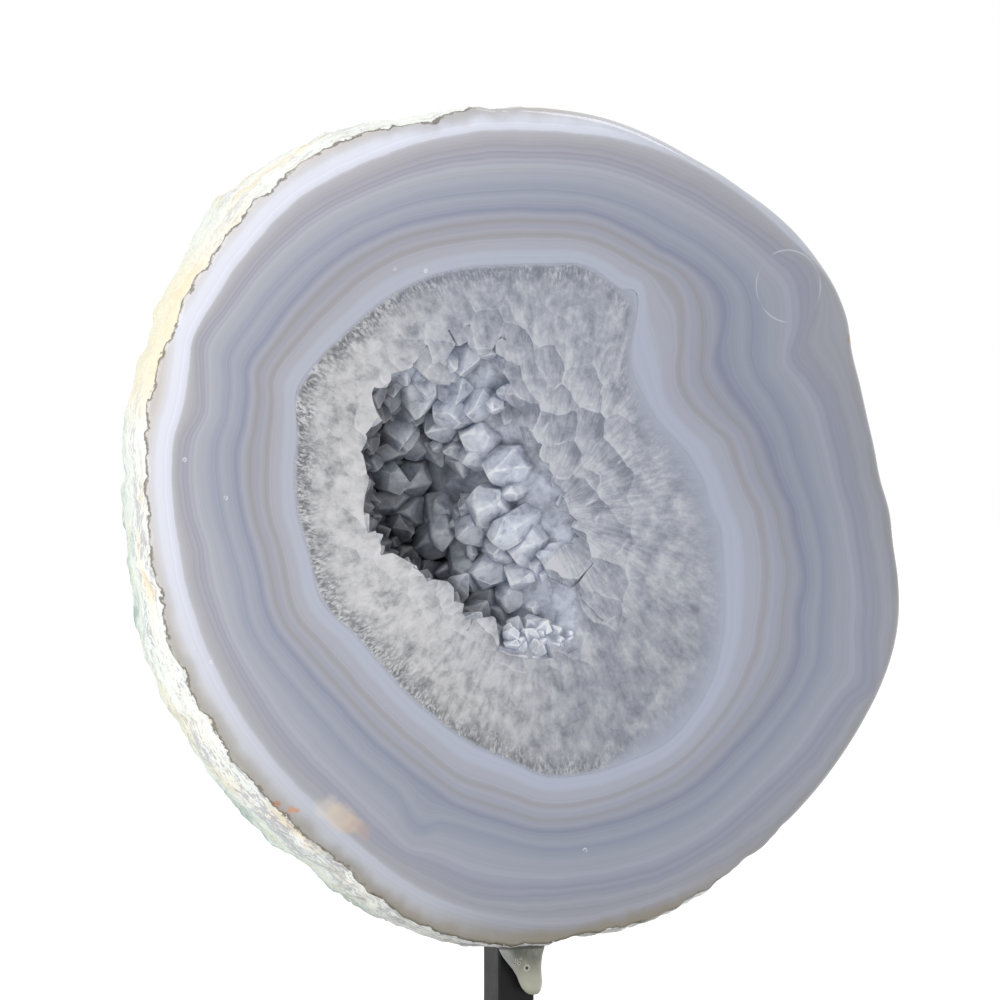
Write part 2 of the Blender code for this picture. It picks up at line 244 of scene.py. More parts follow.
# The hollow between the crystals' roots: its mouth's centre, the mouth's radii in mm by angle,
# its deepest spot and its depth. The left wall is steep and the right one slopes gently.
MOUTH_CENTRE = (-0.022, 0.188)
MOUTH_OUTLINE = (
    (3, 37), (24, 38), (44, 39), (63, 39.5), (86, 40.5), (110, 39.5), (121, 36), (134, 38),
    (142, 38), (149, 33.5), (169, 35.5), (175, 31), (187, 32.5), (201, 33), (215, 31.5), (230, 27),
    (248, 31.5), (263, 36), (272, 40), (292, 46), (304, 48), (318, 46), (339, 38.5),
)
DEEPEST_TOP = (-0.034, 0.198)
DEEPEST_FOOT = (-0.018, 0.156)
HOLLOW_DEPTH = 0.038
# Pits in the hollow's flat right side: place on the face, radius and depth
PITS = (
    (-0.0040, 0.1530, 0.0100, 0.0040), (-0.0120, 0.1600, 0.0060, 0.0060),
    (-0.0260, 0.2220, 0.0090, 0.0050),
)
WALL_POWER = 1.55
WALL_POWER_SWING = 1.05
WALL_LUMPS = ((0.009, 0.0014), (0.0035, 0.0009))
HOLLOW_RINGS = 40
HOLLOW_SIDES = 220

# Crystals: the tilt of a pyramid face's normal from the crystal's axis, and the edges' rounding
PYRAMID_TILT = radians(51.8)
CRYSTAL_ROUNDING = 0.0005
# Width of the pale band along each crystal face's edges: a painted highlight, and partly pale chips
EDGE_GLOW = 0.0004
CRYSTAL_ROOT = 0.007
# Painted light on each crystal's tip, with shade toward its root: the pale tip reaches this many
# widths down a crystal
LIT_TIP = 1.3
# Crystals that the cut runs through, in a row along the hollow's left rim: their number, the
# angles between which they lie round the mouth, and their least and greatest width
RIM_CRYSTALS = 24
RIM_SPAN = (92.0, 270.0)
RIM_WIDTHS = (0.0065, 0.0110)
RIM_REACH = (-0.0006, 0.0034)
RIM_BLUNTNESS = 0.24
CRYSTAL_SEED = 11
# Sizes of crystals that fill the hollow: spacing, least and greatest width and height
CRYSTAL_CLASSES = (
    (0.0064, 0.0070, 0.0105, 0.0050, 0.0110),
    (0.0029, 0.0034, 0.0058, 0.0025, 0.0060),
)
CRYSTAL_TRIES = 4200
CRYSTAL_LEAN = 0.38
# The same for the short ones on the left wall, which the rim hides from the photo's side, and the
# parts of the way down between which they stand
WALL_CRYSTALS = (0.0042, 0.0045, 0.0075, 0.0016, 0.0038)
WALL_SPAN = (0.12, 0.6)
# On the hollow's right, round this angle, crystals lie over each other like shingles
SHINGLE_ANGLE = 10.0
SHINGLE_LEAN = 0.55
SHINGLE_WAY = Vector((-1.1, -0.1, -0.6))
# Crystals that stand out, by their tip's place on the face seen from the camera and its depth, the
# way that they point, width and length, in mm
HERO_CRYSTALS = (
    (-40.5, 204.5, 11, (-0.15, -0.35, -1.0), 11.0, 16),
    (-36.0, 206.3, 9, (-1.0, -0.45, -0.12), 8.0, 24),
    (-28.7, 200.8, 10, (-1.0, -0.40, 0.05), 9.0, 22),
    (-27.5, 190.2, 17, (-0.10, -0.50, -1.0), 7.5, 16),
    (-33.5, 193.0, 22, (0.05, -0.60, -1.0), 9.5, 16),
    (-43.0, 196.8, 20, (-0.10, -0.60, -1.0), 8.0, 14),
    (-28.6, 185.6, 19, (-1.0, -0.45, 0.10), 5.2, 14),
    (-29.6, 175.3, 14, (-1.0, -0.45, -0.45), 9.0, 20),
    (-39.5, 184.5, 27, (-0.30, -1.0, 0.35), 5.0, 10),
    (-33.3, 171.6, 20, (-0.10, -0.55, -1.0), 7.0, 16),
    (-24.9, 161.5, 16, (-0.05, -0.60, -1.0), 8.5, 16),
    (-25.2, 169.5, 15, (0.00, -0.30, -1.0), 2.6, 9),
    (-30.0, 158.5, 4, (0.25, -0.50, 1.0), 7.0, 14),
    (-15.0, 156.2, 11, (-0.30, -0.60, -1.0), 7.8, 14),
    (-14.9, 163.5, 8, (-1.0, -0.70, -0.60), 11.5, 22),
    (-1.2, 177.4, 5, (-1.0, -0.60, 0.10), 9.5, 20),
    (-0.6, 160.4, 4, (-0.70, -0.60, -0.90), 9.5, 20),
    (-5.6, 189.0, 7, (-1.0, -0.80, -0.10), 9.0, 18),
    (-16.2, 203.5, 7, (-0.50, -0.70, -1.0), 9.0, 18),
    (-9.5, 199.0, 5, (-0.40, -0.80, -0.80), 9.5, 18),
    (-21.1, 216.0, 6, (-0.30, -0.50, -0.80), 9.0, 16),
    (-48.0, 213.0, 3, (0.60, -0.40, -0.60), 8.0, 12),
    (-49.0, 176.5, 2, (0.80, -0.40, 0.50), 9.0, 12),
    (-40.0, 169.0, 2, (0.60, -0.40, 0.90), 9.5, 14),
)
# Small clear crystals in a cluster at the hollow's foot: their number, the cluster's middle and
# half size on the face, their tips' depth and their width, in mm
GLASSY_COUNT = 24
GLASSY_MIDDLE = (-3.0, 148.5)
GLASSY_HALF = (14.5, 7.0)
GLASSY_DEPTHS = (0.3, 2.2)
GLASSY_WIDTHS = (3.8, 5.8)
CAMERA_SLANT = 0.445

# The glue's drip in front of the post: height, left and right edge and half depth, in mm
DRIP_ROWS = (
    (76.0, -6.8, 6.8, 2.4), (72.5, -6.5, 6.7, 2.4), (70.6, -6.2, 6.4, 2.4), (69.0, -5.4, 5.9, 2.3),
    (67.2, -4.0, 5.6, 2.2), (65.4, -2.4, 5.5, 2.1), (63.7, -1.3, 5.6, 2.0), (62.0, -0.6, 5.8, 1.9),
    (60.6, 0.1, 5.6, 1.6), (59.6, 1.0, 5.3, 1.2), (58.9, 2.0, 4.7, 0.7),
)
DRIP_SIDES = 36
DRIP_FRONT = -0.0079
# Bubbles in the glue: place and radius, in mm
BUBBLES = (
    (0.6, 65.8, 0.80), (-2.2, 67.9, 0.35), (-1.5, 67.1, 0.38), (-2.7, 67.0, 0.30), (-1.1, 68.2, 0.32),
)


def srgb(red, green, blue):
    """Linear colour of an sRGB colour given from 0 to 255."""
    parts = (red / 255.0, green / 255.0, blue / 255.0)
    return tuple(p / 12.92 if p <= 0.04045 else ((p + 0.055) / 1.055) ** 2.4 for p in parts) + (1.0,)


class Look:
    """A node material, with short calls that add shader nodes and return their outputs."""

    def __init__(self, name):
        self.material = bpy.data.materials.new(name)
        self.material.use_nodes = True
        self.nodes = self.material.node_tree.nodes
        self.links = self.material.node_tree.links
        self.shader = self.nodes["Principled BSDF"]

    def feed(self, socket, value):
        """Set a socket to a value, or link an output to it."""
        if isinstance(value, bpy.types.NodeSocket):
            self.links.new(value, socket)
        else:
            socket.default_value = value

    def add(self, kind, feeds, **settings):
        """A new node, its settings, and its sockets fed by number or name."""
        node = self.nodes.new("ShaderNode" + kind)
        for key, value in settings.items():
            setattr(node, key, value)
        for key, value in feeds.items():
            self.feed(node.inputs[key], value)
        return node

    def surface(self, **feeds):
        """Feed the shader's own sockets, named with underscores for spaces."""
        for key, value in feeds.items():
            self.feed(self.shader.inputs[key.replace("_", " ")], value)

    def place(self):
        """The position in the model's frame, in metres."""
        return self.add("TexCoord", {}).outputs["Object"]

    def axis(self, index):
        """One coordinate of the position."""
        return self.add("SeparateXYZ", {0: self.place()}).outputs[index]

    def attribute(self, name):
        """A number stored on the mesh."""
        return self.add("Attribute", {}, attribute_name=name).outputs["Fac"]

    def math(self, operation, first, second=0.0, clamp=False):
        """A sum, product or other operation on two numbers."""
        node = self.add("Math", {0: first, 1: second}, operation=operation, use_clamp=clamp)
        return node.outputs[0]

    def ramp_up(self, value, low, high, start=0.0, end=1.0):
        """A smooth step from start to end as a value goes from low to high."""
        node = self.add(
            "MapRange", {0: value, 1: low, 2: high, 3: start, 4: end},
            interpolation_type="SMOOTHSTEP",
        )
        return node.outputs[0]

    def noise(self, vector, wavelength, detail=2.0, roughness=0.5, distortion=0.0):
        """Soft noise of a wavelength in metres, from 0 to 1."""
        feeds = {"Vector": vector, "Scale": 1.0 / wavelength, "Detail": detail}
        feeds.update({"Roughness": roughness, "Distortion": distortion})
        return self.add("TexNoise", feeds).outputs[0]

    def lines(self, value, scale, detail=2.0):
        """Noise along one number, for growth lines."""
        feeds = {"W": value, "Scale": scale, "Detail": detail}
        return self.add("TexNoise", feeds, noise_dimensions="1D").outputs[0]

    def cells(self, vector, wavelength, feature="F1", output="Distance", **feeds):
        """Cell noise of a wavelength in metres."""
        feeds.update({"Vector": vector, "Scale": 1.0 / wavelength})
        return self.add("TexVoronoi", feeds, feature=feature).outputs[output]

    def stretch(self, vector, x, y, z):
        """A vector scaled along each axis."""
        return self.add("Mapping", {"Vector": vector, "Scale": (x, y, z)}).outputs[0]

    def warp(self, vector, wavelength, amount):
        """A vector shifted by soft noise, this many metres at most."""
        shift = self.add("TexNoise", {"Vector": vector, "Scale": 1.0 / wavelength}).outputs[1]
        shift = self.add("VectorMath", {0: shift, 1: (0.5, 0.5, 0.5)}, operation="SUBTRACT")
        shift = self.add("VectorMath", {0: shift.outputs[0], "Scale": amount}, operation="SCALE")
        return self.add("VectorMath", {0: vector, 1: shift.outputs[0]}, operation="ADD").outputs[0]

    def mix(self, amount, first, second, blend="MIX"):
        """A mix of two colours."""
        node = self.add(
            "Mix", {"Factor": amount, 6: first, 7: second}, data_type="RGBA", blend_type=blend
        )
        return node.outputs[2]

    def blend(self, amount, first, second):
        """A mix of two numbers."""
        return self.add("Mix", {0: amount, 2: first, 3: second}, data_type="FLOAT").outputs[0]

    def gradient(self, value, stops):
        """A colour ramp through (place, colour) stops."""
        node = self.add("ValToRGB", {0: value})
        elements = node.color_ramp.elements
        elements[0].position, elements[0].color = stops[0]
        elements[1].position, elements[1].color = stops[-1]
        for place, colour in stops[1:-1]:
            elements.new(place).color = colour
        return node.outputs[0]

    def curve(self, value, spots):
        """A curve from 0 to 1 through (place, value) spots."""
        node = self.add("FloatCurve", {"Factor": 1.0, "Value": value})
        points = node.mapping.curves[0].points
        points[0].location = spots[0]
        points[1].location = spots[-1]
        for spot in spots[1:-1]:
            points.new(*spot)
        node.mapping.update()
        return node.outputs[0]

    def bump(self, height, distance, strength=1.0, under=None):
        """A bump of a height in metres, over another bump if one is given."""
        feeds = {"Height": height, "Distance": distance, "Strength": strength}
        if under is not None:
            feeds["Normal"] = under
        return self.add("Bump", feeds).outputs[0]


def closed_curve(knots, values, angles):
    """Values at some angles on a smooth closed curve through values at knot angles."""
    knots = np.asarray(knots, float)
    values = np.asarray(values, float)
    wrapped = np.concatenate((knots[-2:] - 360.0, knots, knots[:2] + 360.0))
    levels = np.concatenate((values[-2:], values, values[:2]))
    slopes = (levels[2:] - levels[:-2]) / (wrapped[2:] - wrapped[:-2])
    angles = np.mod(angles, 360.0)
    start = np.searchsorted(wrapped, angles, side="right") - 1
    span = wrapped[start + 1] - wrapped[start]
    part = (angles - wrapped[start]) / span
    first = (2 * part**3 - 3 * part**2 + 1) * levels[start]
    first += (part**3 - 2 * part**2 + part) * slopes[start - 1] * span
    second = (3 * part**2 - 2 * part**3) * levels[start + 1]
    second += (part**3 - part**2) * slopes[start] * span
    return first + second


def band_radii(angles):
    """Radii in mm of the bands and of the face's edge at some angles, one row for each."""
    rows = np.array(BANDS)
    return [closed_curve(rows[:, 0], rows[:, column], angles) for column in range(1, 8)]


def smooth_noise(points, wavelength, offset=0.0):
    """Noise from -1 to 1 at many points."""
    shift = Vector((offset, offset, offset))
    return np.array([noise.noise(Vector(point) / wavelength + shift) for point in points])


def face_points(angles, radii, depths, centre=FACE_CENTRE):
    """Points at radii round a centre on the face and at depths behind it, in metres."""
    turns = np.radians(angles)
    x = centre[0] + radii * np.cos(turns)
    z = centre[1] + radii * np.sin(turns)
    return np.stack((x, FACE_Y + depths + 0.0 * x, z), axis=-1)


def grid_faces(rings, sides, first=0):
    """Quads between rings of vertices that close on themselves."""
    side = np.arange(sides)
    following = (side + 1) % sides
    quads = []
    for ring in range(rings - 1):
        low = first + ring * sides
        high = low + sides
        quads.append(np.stack((low + side, low + following, high + following, high + side), axis=-1))
    return np.concatenate(quads)


def mesh_object(name, points, faces, materials, attributes=None):
    """A smooth mesh object with numbers stored on its points."""
    mesh = bpy.data.meshes.new(name)
    mesh.from_pydata([tuple(p) for p in points], [], [tuple(int(i) for i in f) for f in faces])
    for key, values in (attributes or {}).items():
        layer = mesh.attributes.new(key, "FLOAT", "POINT")
        layer.data.foreach_set("value", np.asarray(values, np.float32))
    bm = bmesh.new()
    bm.from_mesh(mesh)
    bmesh.ops.recalc_face_normals(bm, faces=bm.faces)
    bm.to_mesh(mesh)
    bm.free()
    for material in materials:
        mesh.materials.append(material)
    mesh.shade_smooth()
    item = bpy.data.objects.new(name, mesh)
    bpy.context.scene.collection.objects.link(item)
    return item


def left_side(angles):
    """1 where the face's edge is broken and the rind shows, and 0 where it is polished round."""
    rise = np.clip((angles - 88.0) / 14.0, 0.0, 1.0)
    fall = np.clip((316.0 - angles) / 18.0, 0.0, 1.0)
    return rise * fall


def stone_mesh(material):
    """The whole stone as one closed mesh: socket, polished face, edge and rough dome."""
    angles = np.arange(STONE_SIDES) * 360.0 / STONE_SIDES
    *bands, edge = band_radii(angles)
    quartz = bands[0]
    ragged = left_side(angles)
    rim_points = face_points(angles, edge * MM, 0.0)
    chips = smooth_noise(rim_points, 0.006) * 0.55 + smooth_noise(rim_points, 0.0025) * 0.5
    chips += np.minimum(0.0, smooth_noise(rim_points, 0.010, 7.0)) * 1.7 - 0.3
    edge = edge + chips * ragged
    rings = []
    band_values = []
    skin_values = []

    def place_of(radii):
        """Where radii lie across the bands, from 0 at the quartz."""
        out = np.empty_like(radii)
        knots = np.stack(bands)
        for side in range(STONE_SIDES):
            out[side] = np.interp(radii[side], knots[:, side], BAND_PLACES)
            beyond = max(0.0, radii[side] - knots[-1, side])
            out[side] += beyond / BAND_SPAN
        return out

    # The socket, from its deepest point to the face
    for row in range(SOCKET_RINGS, 0, -1):
        swing = row / (SOCKET_RINGS + 1) * pi / 2
        radii = quartz * MM * cos(swing) ** SOCKET_FULLNESS
        rings.append(face_points(angles, radii, SOCKET_DEPTH * sin(swing)))
        band_values.append(np.zeros(STONE_SIDES))
        skin_values.append(quartz - edge)
    # The flat face, from the quartz to where the edge turns
    turn_radius = 1.0 + 2.6 * (1.0 - ragged)
    flat_edge = edge - turn_radius
    for row in range(FACE_RINGS + 1):
        radii = quartz + (flat_edge - quartz) * row / FACE_RINGS
        rings.append(face_points(angles, radii * MM, 0.0))
        band_values.append(place_of(radii))
        skin_values.append(radii - edge)
    # The edge, a quarter turn from the face to the flank
    for row in range(1, EDGE_RINGS + 1):
        turn = row / EDGE_RINGS * pi / 2
        radii = flat_edge + turn_radius * sin(turn)
        depths = turn_radius * (1.0 - cos(turn))
        rings.append(face_points(angles, radii * MM, depths * MM))
        along = flat_edge + turn_radius * turn
        band_values.append(place_of(along))
        skin_values.append(radii - edge)
    # The dome, finest near the edge
    over_foot = np.maximum(0.0, np.cos(np.radians(angles - 270.0))) ** 2
    flare = closed_curve(*zip(*FLARE), angles) * MM
    for row in range(1, DOME_RINGS + 1):
        climb = (row / (DOME_RINGS + 1)) ** 1.35
        swing = climb * pi / 2
        fullness = SIDE_FULLNESS + (FOOT_FULLNESS - SIDE_FULLNESS) * over_foot * (1.0 - climb**2)
        radii = edge * MM * cos(swing) ** fullness
        start = turn_radius * MM
        depths = start + (STONE_DEPTH - start) * sin(swing) ** DOME_POWER
        behind = (depths - start) / FLARE_DEPTH
        radii = radii + flare * behind * np.exp(1.0 - behind)
        ring = face_points(angles, radii, depths)
        rings.append(roughen(ring, depths - start, ragged))
        band_values.append(band_values[-1])
        skin_values.append((depths - start) / MM + 0.01)
    points = np.concatenate(rings)
    faces = [tuple(face) for face in grid_faces(len(rings), STONE_SIDES)]
    # Both ends close on a single point
    socket_end = face_points(0.0, 0.0, SOCKET_DEPTH)[None]
    back_end = roughen(face_points(0.0, 0.0, STONE_DEPTH)[None], np.array([STONE_DEPTH]), np.ones(1))
    last_ring = len(points) - STONE_SIDES
    points = np.concatenate((points, socket_end, back_end))
    points = np.clip(points, *[tuple(corner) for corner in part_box("agate_body")])
    socket_tip = len(points) - 2
    back_tip = len(points) - 1
    for side in range(STONE_SIDES):
        following = (side + 1) % STONE_SIDES
        faces.append((socket_tip, following, side))
        faces.append((back_tip, last_ring + side, last_ring + following))
    ends = np.zeros(2)
    band_values = np.concatenate(band_values + [ends])
    skin_values = np.concatenate(skin_values + [ends + STONE_DEPTH / MM])
    milk = closed_curve(*zip(*MILK), angles)
    olive = closed_curve(*zip(*OLIVE), angles)
    side_count = len(rings)
    attributes = {
        "band": band_values,
        "skin": skin_values,
        "milk": np.concatenate((np.tile(milk, side_count), ends)),
        "olive": np.concatenate((np.tile(olive, side_count), ends)),
        "ragged": np.concatenate((np.tile(ragged, side_count), ends + 1.0)),
    }
    stone = mesh_object("banded_stone", points, faces, [material], attributes)
    stone.data.set_sharp_from_angle(angle=radians(60.0))
    return stone


def roughen(points, depths, ragged):
    """The rind's relief on points of the dome: lumps like the solid's, and finer crust."""
    middle = Vector((FACE_CENTRE[0], FACE_Y + STONE_DEPTH / 4, FACE_CENTRE[1]))
    out = points.copy()
    for index, point in enumerate(points):
        spot = Vector(point)
        lumps = 0.0
        for wavelength, amplitude in LUMP_LAYERS:
            lumps += amplitude * (noise.noise(spot / wavelength) - 0.35)
        depth = depths[index]
        lumps *= min(1.0, depth / LUMP_FADE)
        crust = noise.noise(spot / 0.0045) * 0.00055 + noise.noise(spot / 0.0019) * 0.00035
        crust -= 0.0012 * max(0.0, noise.noise(spot / 0.007 + Vector((3.1, 0.0, 0.0))) - 0.20)
        crust *= min(1.0, depth / 0.0012) * (0.35 + 0.65 * ragged[index])
        outwards = (spot - middle).normalized()
        out[index] = spot + outwards * (lumps + crust)
    return out


def band_stops(stops, low, high):
    """Colour stops between two places in mm across the bands, rescaled to run from 0 to 1."""
    span = high - low
    return [
        ((place - low) / span, srgb(*[tone for tone in rgb]))
        for place, rgb in stops if low <= place <= high
    ]


def agate_material():
    """Polished banded agate that turns into a rough cream rind past the face's edge."""
    look = Look("banded_agate")
    place = look.place()
    skin = look.attribute("skin")
    wobble = look.math("SUBTRACT", look.noise(place, 0.006, 3.0), 0.5)
    band = look.math("ADD", look.attribute("band"), look.math("MULTIPLY", wobble, 0.018))
    across = look.math("MULTIPLY", band, 2.0)
    inner = look.gradient(across, band_stops(BAND_COLOURS, 0.0, 20.0))
    across = look.math("SUBTRACT", across, 1.0)
    milky = look.gradient(across, band_stops(BAND_COLOURS, 20.0, 40.0))
    dull = look.gradient(across, band_stops(DULL_COLOURS, 20.0, 40.0))
    outer = look.mix(look.attribute("milk"), dull, milky)
    bands = look.mix(look.ramp_up(band, 0.499, 0.501), inner, outer)
    coarse = look.math("MULTIPLY", look.math("SUBTRACT", look.lines(band, 24.0, 2.0), 0.5), 0.11)
    fine = look.math("MULTIPLY", look.math("SUBTRACT", look.lines(band, 85.0, 2.0), 0.5), 0.13)
    streak = look.math("ADD", look.math("ADD", coarse, fine), 1.0)
    streaks = look.add("CombineColor", {0: streak, 1: streak, 2: streak}).outputs[0]
    bands = look.mix(1.0, bands, streaks, "MULTIPLY")

    dark = look.mix(look.ramp_up(band, 0.26, 0.33), AGATE_DARK_INSIDE, AGATE_DARK_SIDE)
    bands = look.mix(1.0, bands, side_shade(look, dark), "MULTIPLY")
    rim = look.math("ADD", skin, look.math("MULTIPLY", look.noise(place, 0.006, 3.0), 4.0))
    olive = look.math("MULTIPLY", look.ramp_up(rim, -2.6, 1.6), look.attribute("olive"))
    bands = look.mix(olive, bands, srgb(126, 119, 104))
    bands = face_marks(look, place, bands)

    ragged = look.attribute("ragged")
    coarse = look.math("MULTIPLY", look.math("SUBTRACT", look.noise(place, 0.0050, 2.0), 0.5), 3.6)
    fine = look.math("MULTIPLY", look.math("SUBTRACT", look.noise(place, 0.0013, 4.0, 0.7), 0.5), 1.8)
    fray = look.math("ADD", coarse, fine)
    late = look.math("MULTIPLY", look.math("SUBTRACT", 1.0, ragged), RIND_START)
    frayed = look.math("SUBTRACT", look.math("ADD", skin, fray), late)
    is_rind = look.ramp_up(frayed, 0.0, 0.15)
    # Dark brown line just inside the rind's broken edge: painted shadow where the rind lies recessed,
    # and partly the agate's brown edge layer
    brown_edge_and_shadow = look.math("MULTIPLY", look.ramp_up(frayed, -0.55, -0.15, 0.0, 0.8), ragged)
    bands = look.mix(brown_edge_and_shadow, bands, srgb(104, 97, 84))
    relief = look.math("MULTIPLY", look.noise(place, 0.0012, 4.0, 0.65), is_rind)
    look.surface(
        Base_Color=look.mix(is_rind, bands, rind_colour(look, place, skin)),
        Roughness=look.blend(is_rind, 0.10, 0.85),
        IOR=1.54,
        Normal=look.bump(relief, 0.0006, 1.0),
    )
    return look.material


def face_distance(look, place, x, z):
    """Distance in metres on the face from a spot given in mm."""
    flat = look.stretch(place, 1.0, 0.0, 1.0)
    node = look.add("VectorMath", {0: flat, 1: (x * MM, 0.0, z * MM)}, operation="DISTANCE")
    return node.outputs["Value"]


def thin_ring(look, distance, radius, width):
    """1 on a thin ring, fading out to both sides of it."""
    off = look.math("ABSOLUTE", look.math("SUBTRACT", distance, radius * MM))
    return look.ramp_up(off, 0.0, width * MM, 1.0, 0.0)


def face_marks(look, place, colour):
    """Small flaws in the agate: rust spots, tiny rings, a faint arc and a brown chip."""
    warped = look.warp(place, 0.004, 0.0050)
    shallow = look.ramp_up(look.axis(1), FACE_Y + 1.0 * MM, FACE_Y + 5.0 * MM, 1.0, 0.0)
    for x, z, radius, strength, rust in RUST_SPOTS:
        distance = face_distance(look, warped, x, z)
        spot = look.ramp_up(distance, radius * 0.3 * MM, radius * MM, strength, 0.0)
        colour = look.mix(look.math("MULTIPLY", spot, shallow), colour, srgb(*rust))
    for x, z in TINY_RINGS:
        speck = thin_ring(look, face_distance(look, place, x, z), 0.38, 0.34)
        broken = look.ramp_up(look.noise(place, 0.0009, 1.0), 0.40, 0.60, 0.0, 0.5)
        colour = look.mix(look.math("MULTIPLY", speck, broken), colour, srgb(236, 238, 244))
    x, z, radius = FAINT_ARC
    arc = thin_ring(look, face_distance(look, place, x, z), radius, 0.32)
    broken = look.ramp_up(look.noise(place, 0.014, 1.0), 0.44, 0.60, 0.0, 0.4)
    return look.mix(look.math("MULTIPLY", arc, broken), colour, srgb(206, 210, 220))


def rind_colour(look, place, skin):
    """Chalky crust whose grain runs along the edge near it, with a yellow patch and a green tinge
    behind the edge."""
    _, _, radius, turn = polar(look, FACE_CENTRE)
    feeds = {0: look.math("MULTIPLY", turn, 0.24), 1: look.axis(1), 2: radius}
    along = look.add("CombineXYZ", feeds).outputs[0]
    low = look.ramp_up(look.axis(2), 0.150, 0.250, 1.0, 0.0)
    left = look.ramp_up(look.axis(0), -0.070, 0.0, 1.0, 0.3)
    near = chalk(look, along, low)
    far = chalk(look, place, low)
    crust = look.mix(look.ramp_up(skin, 22.0, 34.0), near, far)
    yellow = look.ramp_up(face_distance(look, place, *YELLOW_PATCH), 0.008, 0.032, 0.7, 0.0)
    yellow = look.math("MULTIPLY", yellow, look.ramp_up(skin, 24.0, 44.0, 1.0, 0.0))
    crust = look.mix(yellow, crust, srgb(240, 226, 192))
    green = look.math("MULTIPLY", look.ramp_up(skin, 3.0, 20.0), look.blend(low, 0.25, 0.5))
    green = look.math("MULTIPLY", green, look.ramp_up(skin, 34.0, 60.0, 1.0, 0.35))
    green = look.math("MULTIPLY", green, left)
    crust = look.mix(green, crust, srgb(196, 214, 203))
    moss = look.ramp_up(look.noise(place, 0.009, 4.0, 0.6), 0.46, 0.66, 0.0, 0.8)
    moss = look.math("MULTIPLY", moss, look.math("MULTIPLY", look.ramp_up(skin, 12.0, 26.0), low))
    moss = look.math("MULTIPLY", moss, look.ramp_up(skin, 32.0, 52.0, 1.0, 0.2))
    moss = look.math("MULTIPLY", moss, left)
    return look.mix(moss, crust, srgb(126, 154, 146))


def chalk(look, vector, low):
    """Cream chalk with tan patches, fine grey pits, more of them low down, and tan threads."""
    patches = look.noise(vector, 0.009, 3.0, 0.6)
    cream = look.gradient(patches, [
        (0.30, srgb(226, 231, 225)), (0.44, srgb(236, 238, 234)), (0.54, srgb(239, 239, 233)),
        (0.62, srgb(238, 229, 208)), (0.76, srgb(226, 208, 176)),
    ])
    grain = look.noise(vector, 0.0009, 4.0, 0.75)
    clumps = look.noise(vector, 0.006, 3.0)
    grain = look.math("ADD", grain, look.math("MULTIPLY", clumps, 0.6))
    grain = look.math("SUBTRACT", grain, look.math("MULTIPLY", low, 0.06))
    pits = look.ramp_up(grain, 0.66, 0.74, 1.0, 0.0)
    cream = look.mix(
        look.math("MULTIPLY", pits, look.blend(low, 0.35, 0.62)), cream, srgb(146, 146, 158)
    )
    threads = look.noise(look.stretch(vector, 0.4, 1.0, 1.0), 0.0016, 3.0)
    return look.mix(look.ramp_up(threads, 0.36, 0.48, 0.25, 0.0), cream, srgb(182, 176, 158))


def polar(look, centre):
    """Polar places on the face: the unit directions along X and Z, the radius in metres and the
    part of a whole turn."""
    x = look.math("SUBTRACT", look.axis(0), centre[0])
    z = look.math("SUBTRACT", look.axis(2), centre[1])
    squares = look.math("ADD", look.math("MULTIPLY", x, x), look.math("MULTIPLY", z, z))
    radius = look.math("SQRT", squares)
    turn = look.math("DIVIDE", look.math("ARCTAN2", z, x), 2.0 * pi)
    turn = look.math("FRACT", look.math("ADD", turn, 1.0))
    return look.math("DIVIDE", x, radius), look.math("DIVIDE", z, radius), radius, turn


def mouth_distance(look):
    """How far outside the hollow's mouth a spot on the face lies, in metres."""
    _, _, radius, turn = polar(look, MOUTH_CENTRE)
    knots, radii = zip(*MOUTH_OUTLINE)
    spots = [(step / 24, closed_curve(knots, radii, step * 15.0) / 100.0) for step in range(25)]
    return look.math("SUBTRACT", radius, look.math("MULTIPLY", look.curve(turn, spots), 0.1))


def side_shade(look, dark):
    """The light that the cut face takes up, down to a dark tone from its upper left to its lower
    right."""
    slant = look.math("SUBTRACT", look.axis(0), look.math("MULTIPLY", look.axis(2), 0.6))
    return look.mix(look.ramp_up(slant, -0.332, -0.002), AGATE_LIGHT_SIDE, dark)


def quartz_material():
    """Milky to clear quartz: cut and polished on the face, and crystals in the hollow."""
    look = Look("milky_quartz")
    place = look.place()
    warped = look.warp(place, 0.0045, 0.0055)
    cut = cut_quartz(look, place, warped)
    crystal = crystal_quartz(look, place, warped)
    depth = look.math("SUBTRACT", look.axis(1), FACE_Y)
    in_hollow = look.ramp_up(depth, 0.0001, 0.0022)
    look.surface(
        Base_Color=look.mix(in_hollow, cut, crystal),
        Roughness=look.blend(in_hollow, 0.08, 0.20),
        IOR=1.544,
        Transmission_Weight=look.blend(in_hollow, 0.0, 0.12),
        Subsurface_Weight=look.blend(in_hollow, 0.0, 1.0),
        Subsurface_Radius=(1.0, 1.0, 1.0),
        Subsurface_Scale=0.010,
    )
    return look.material


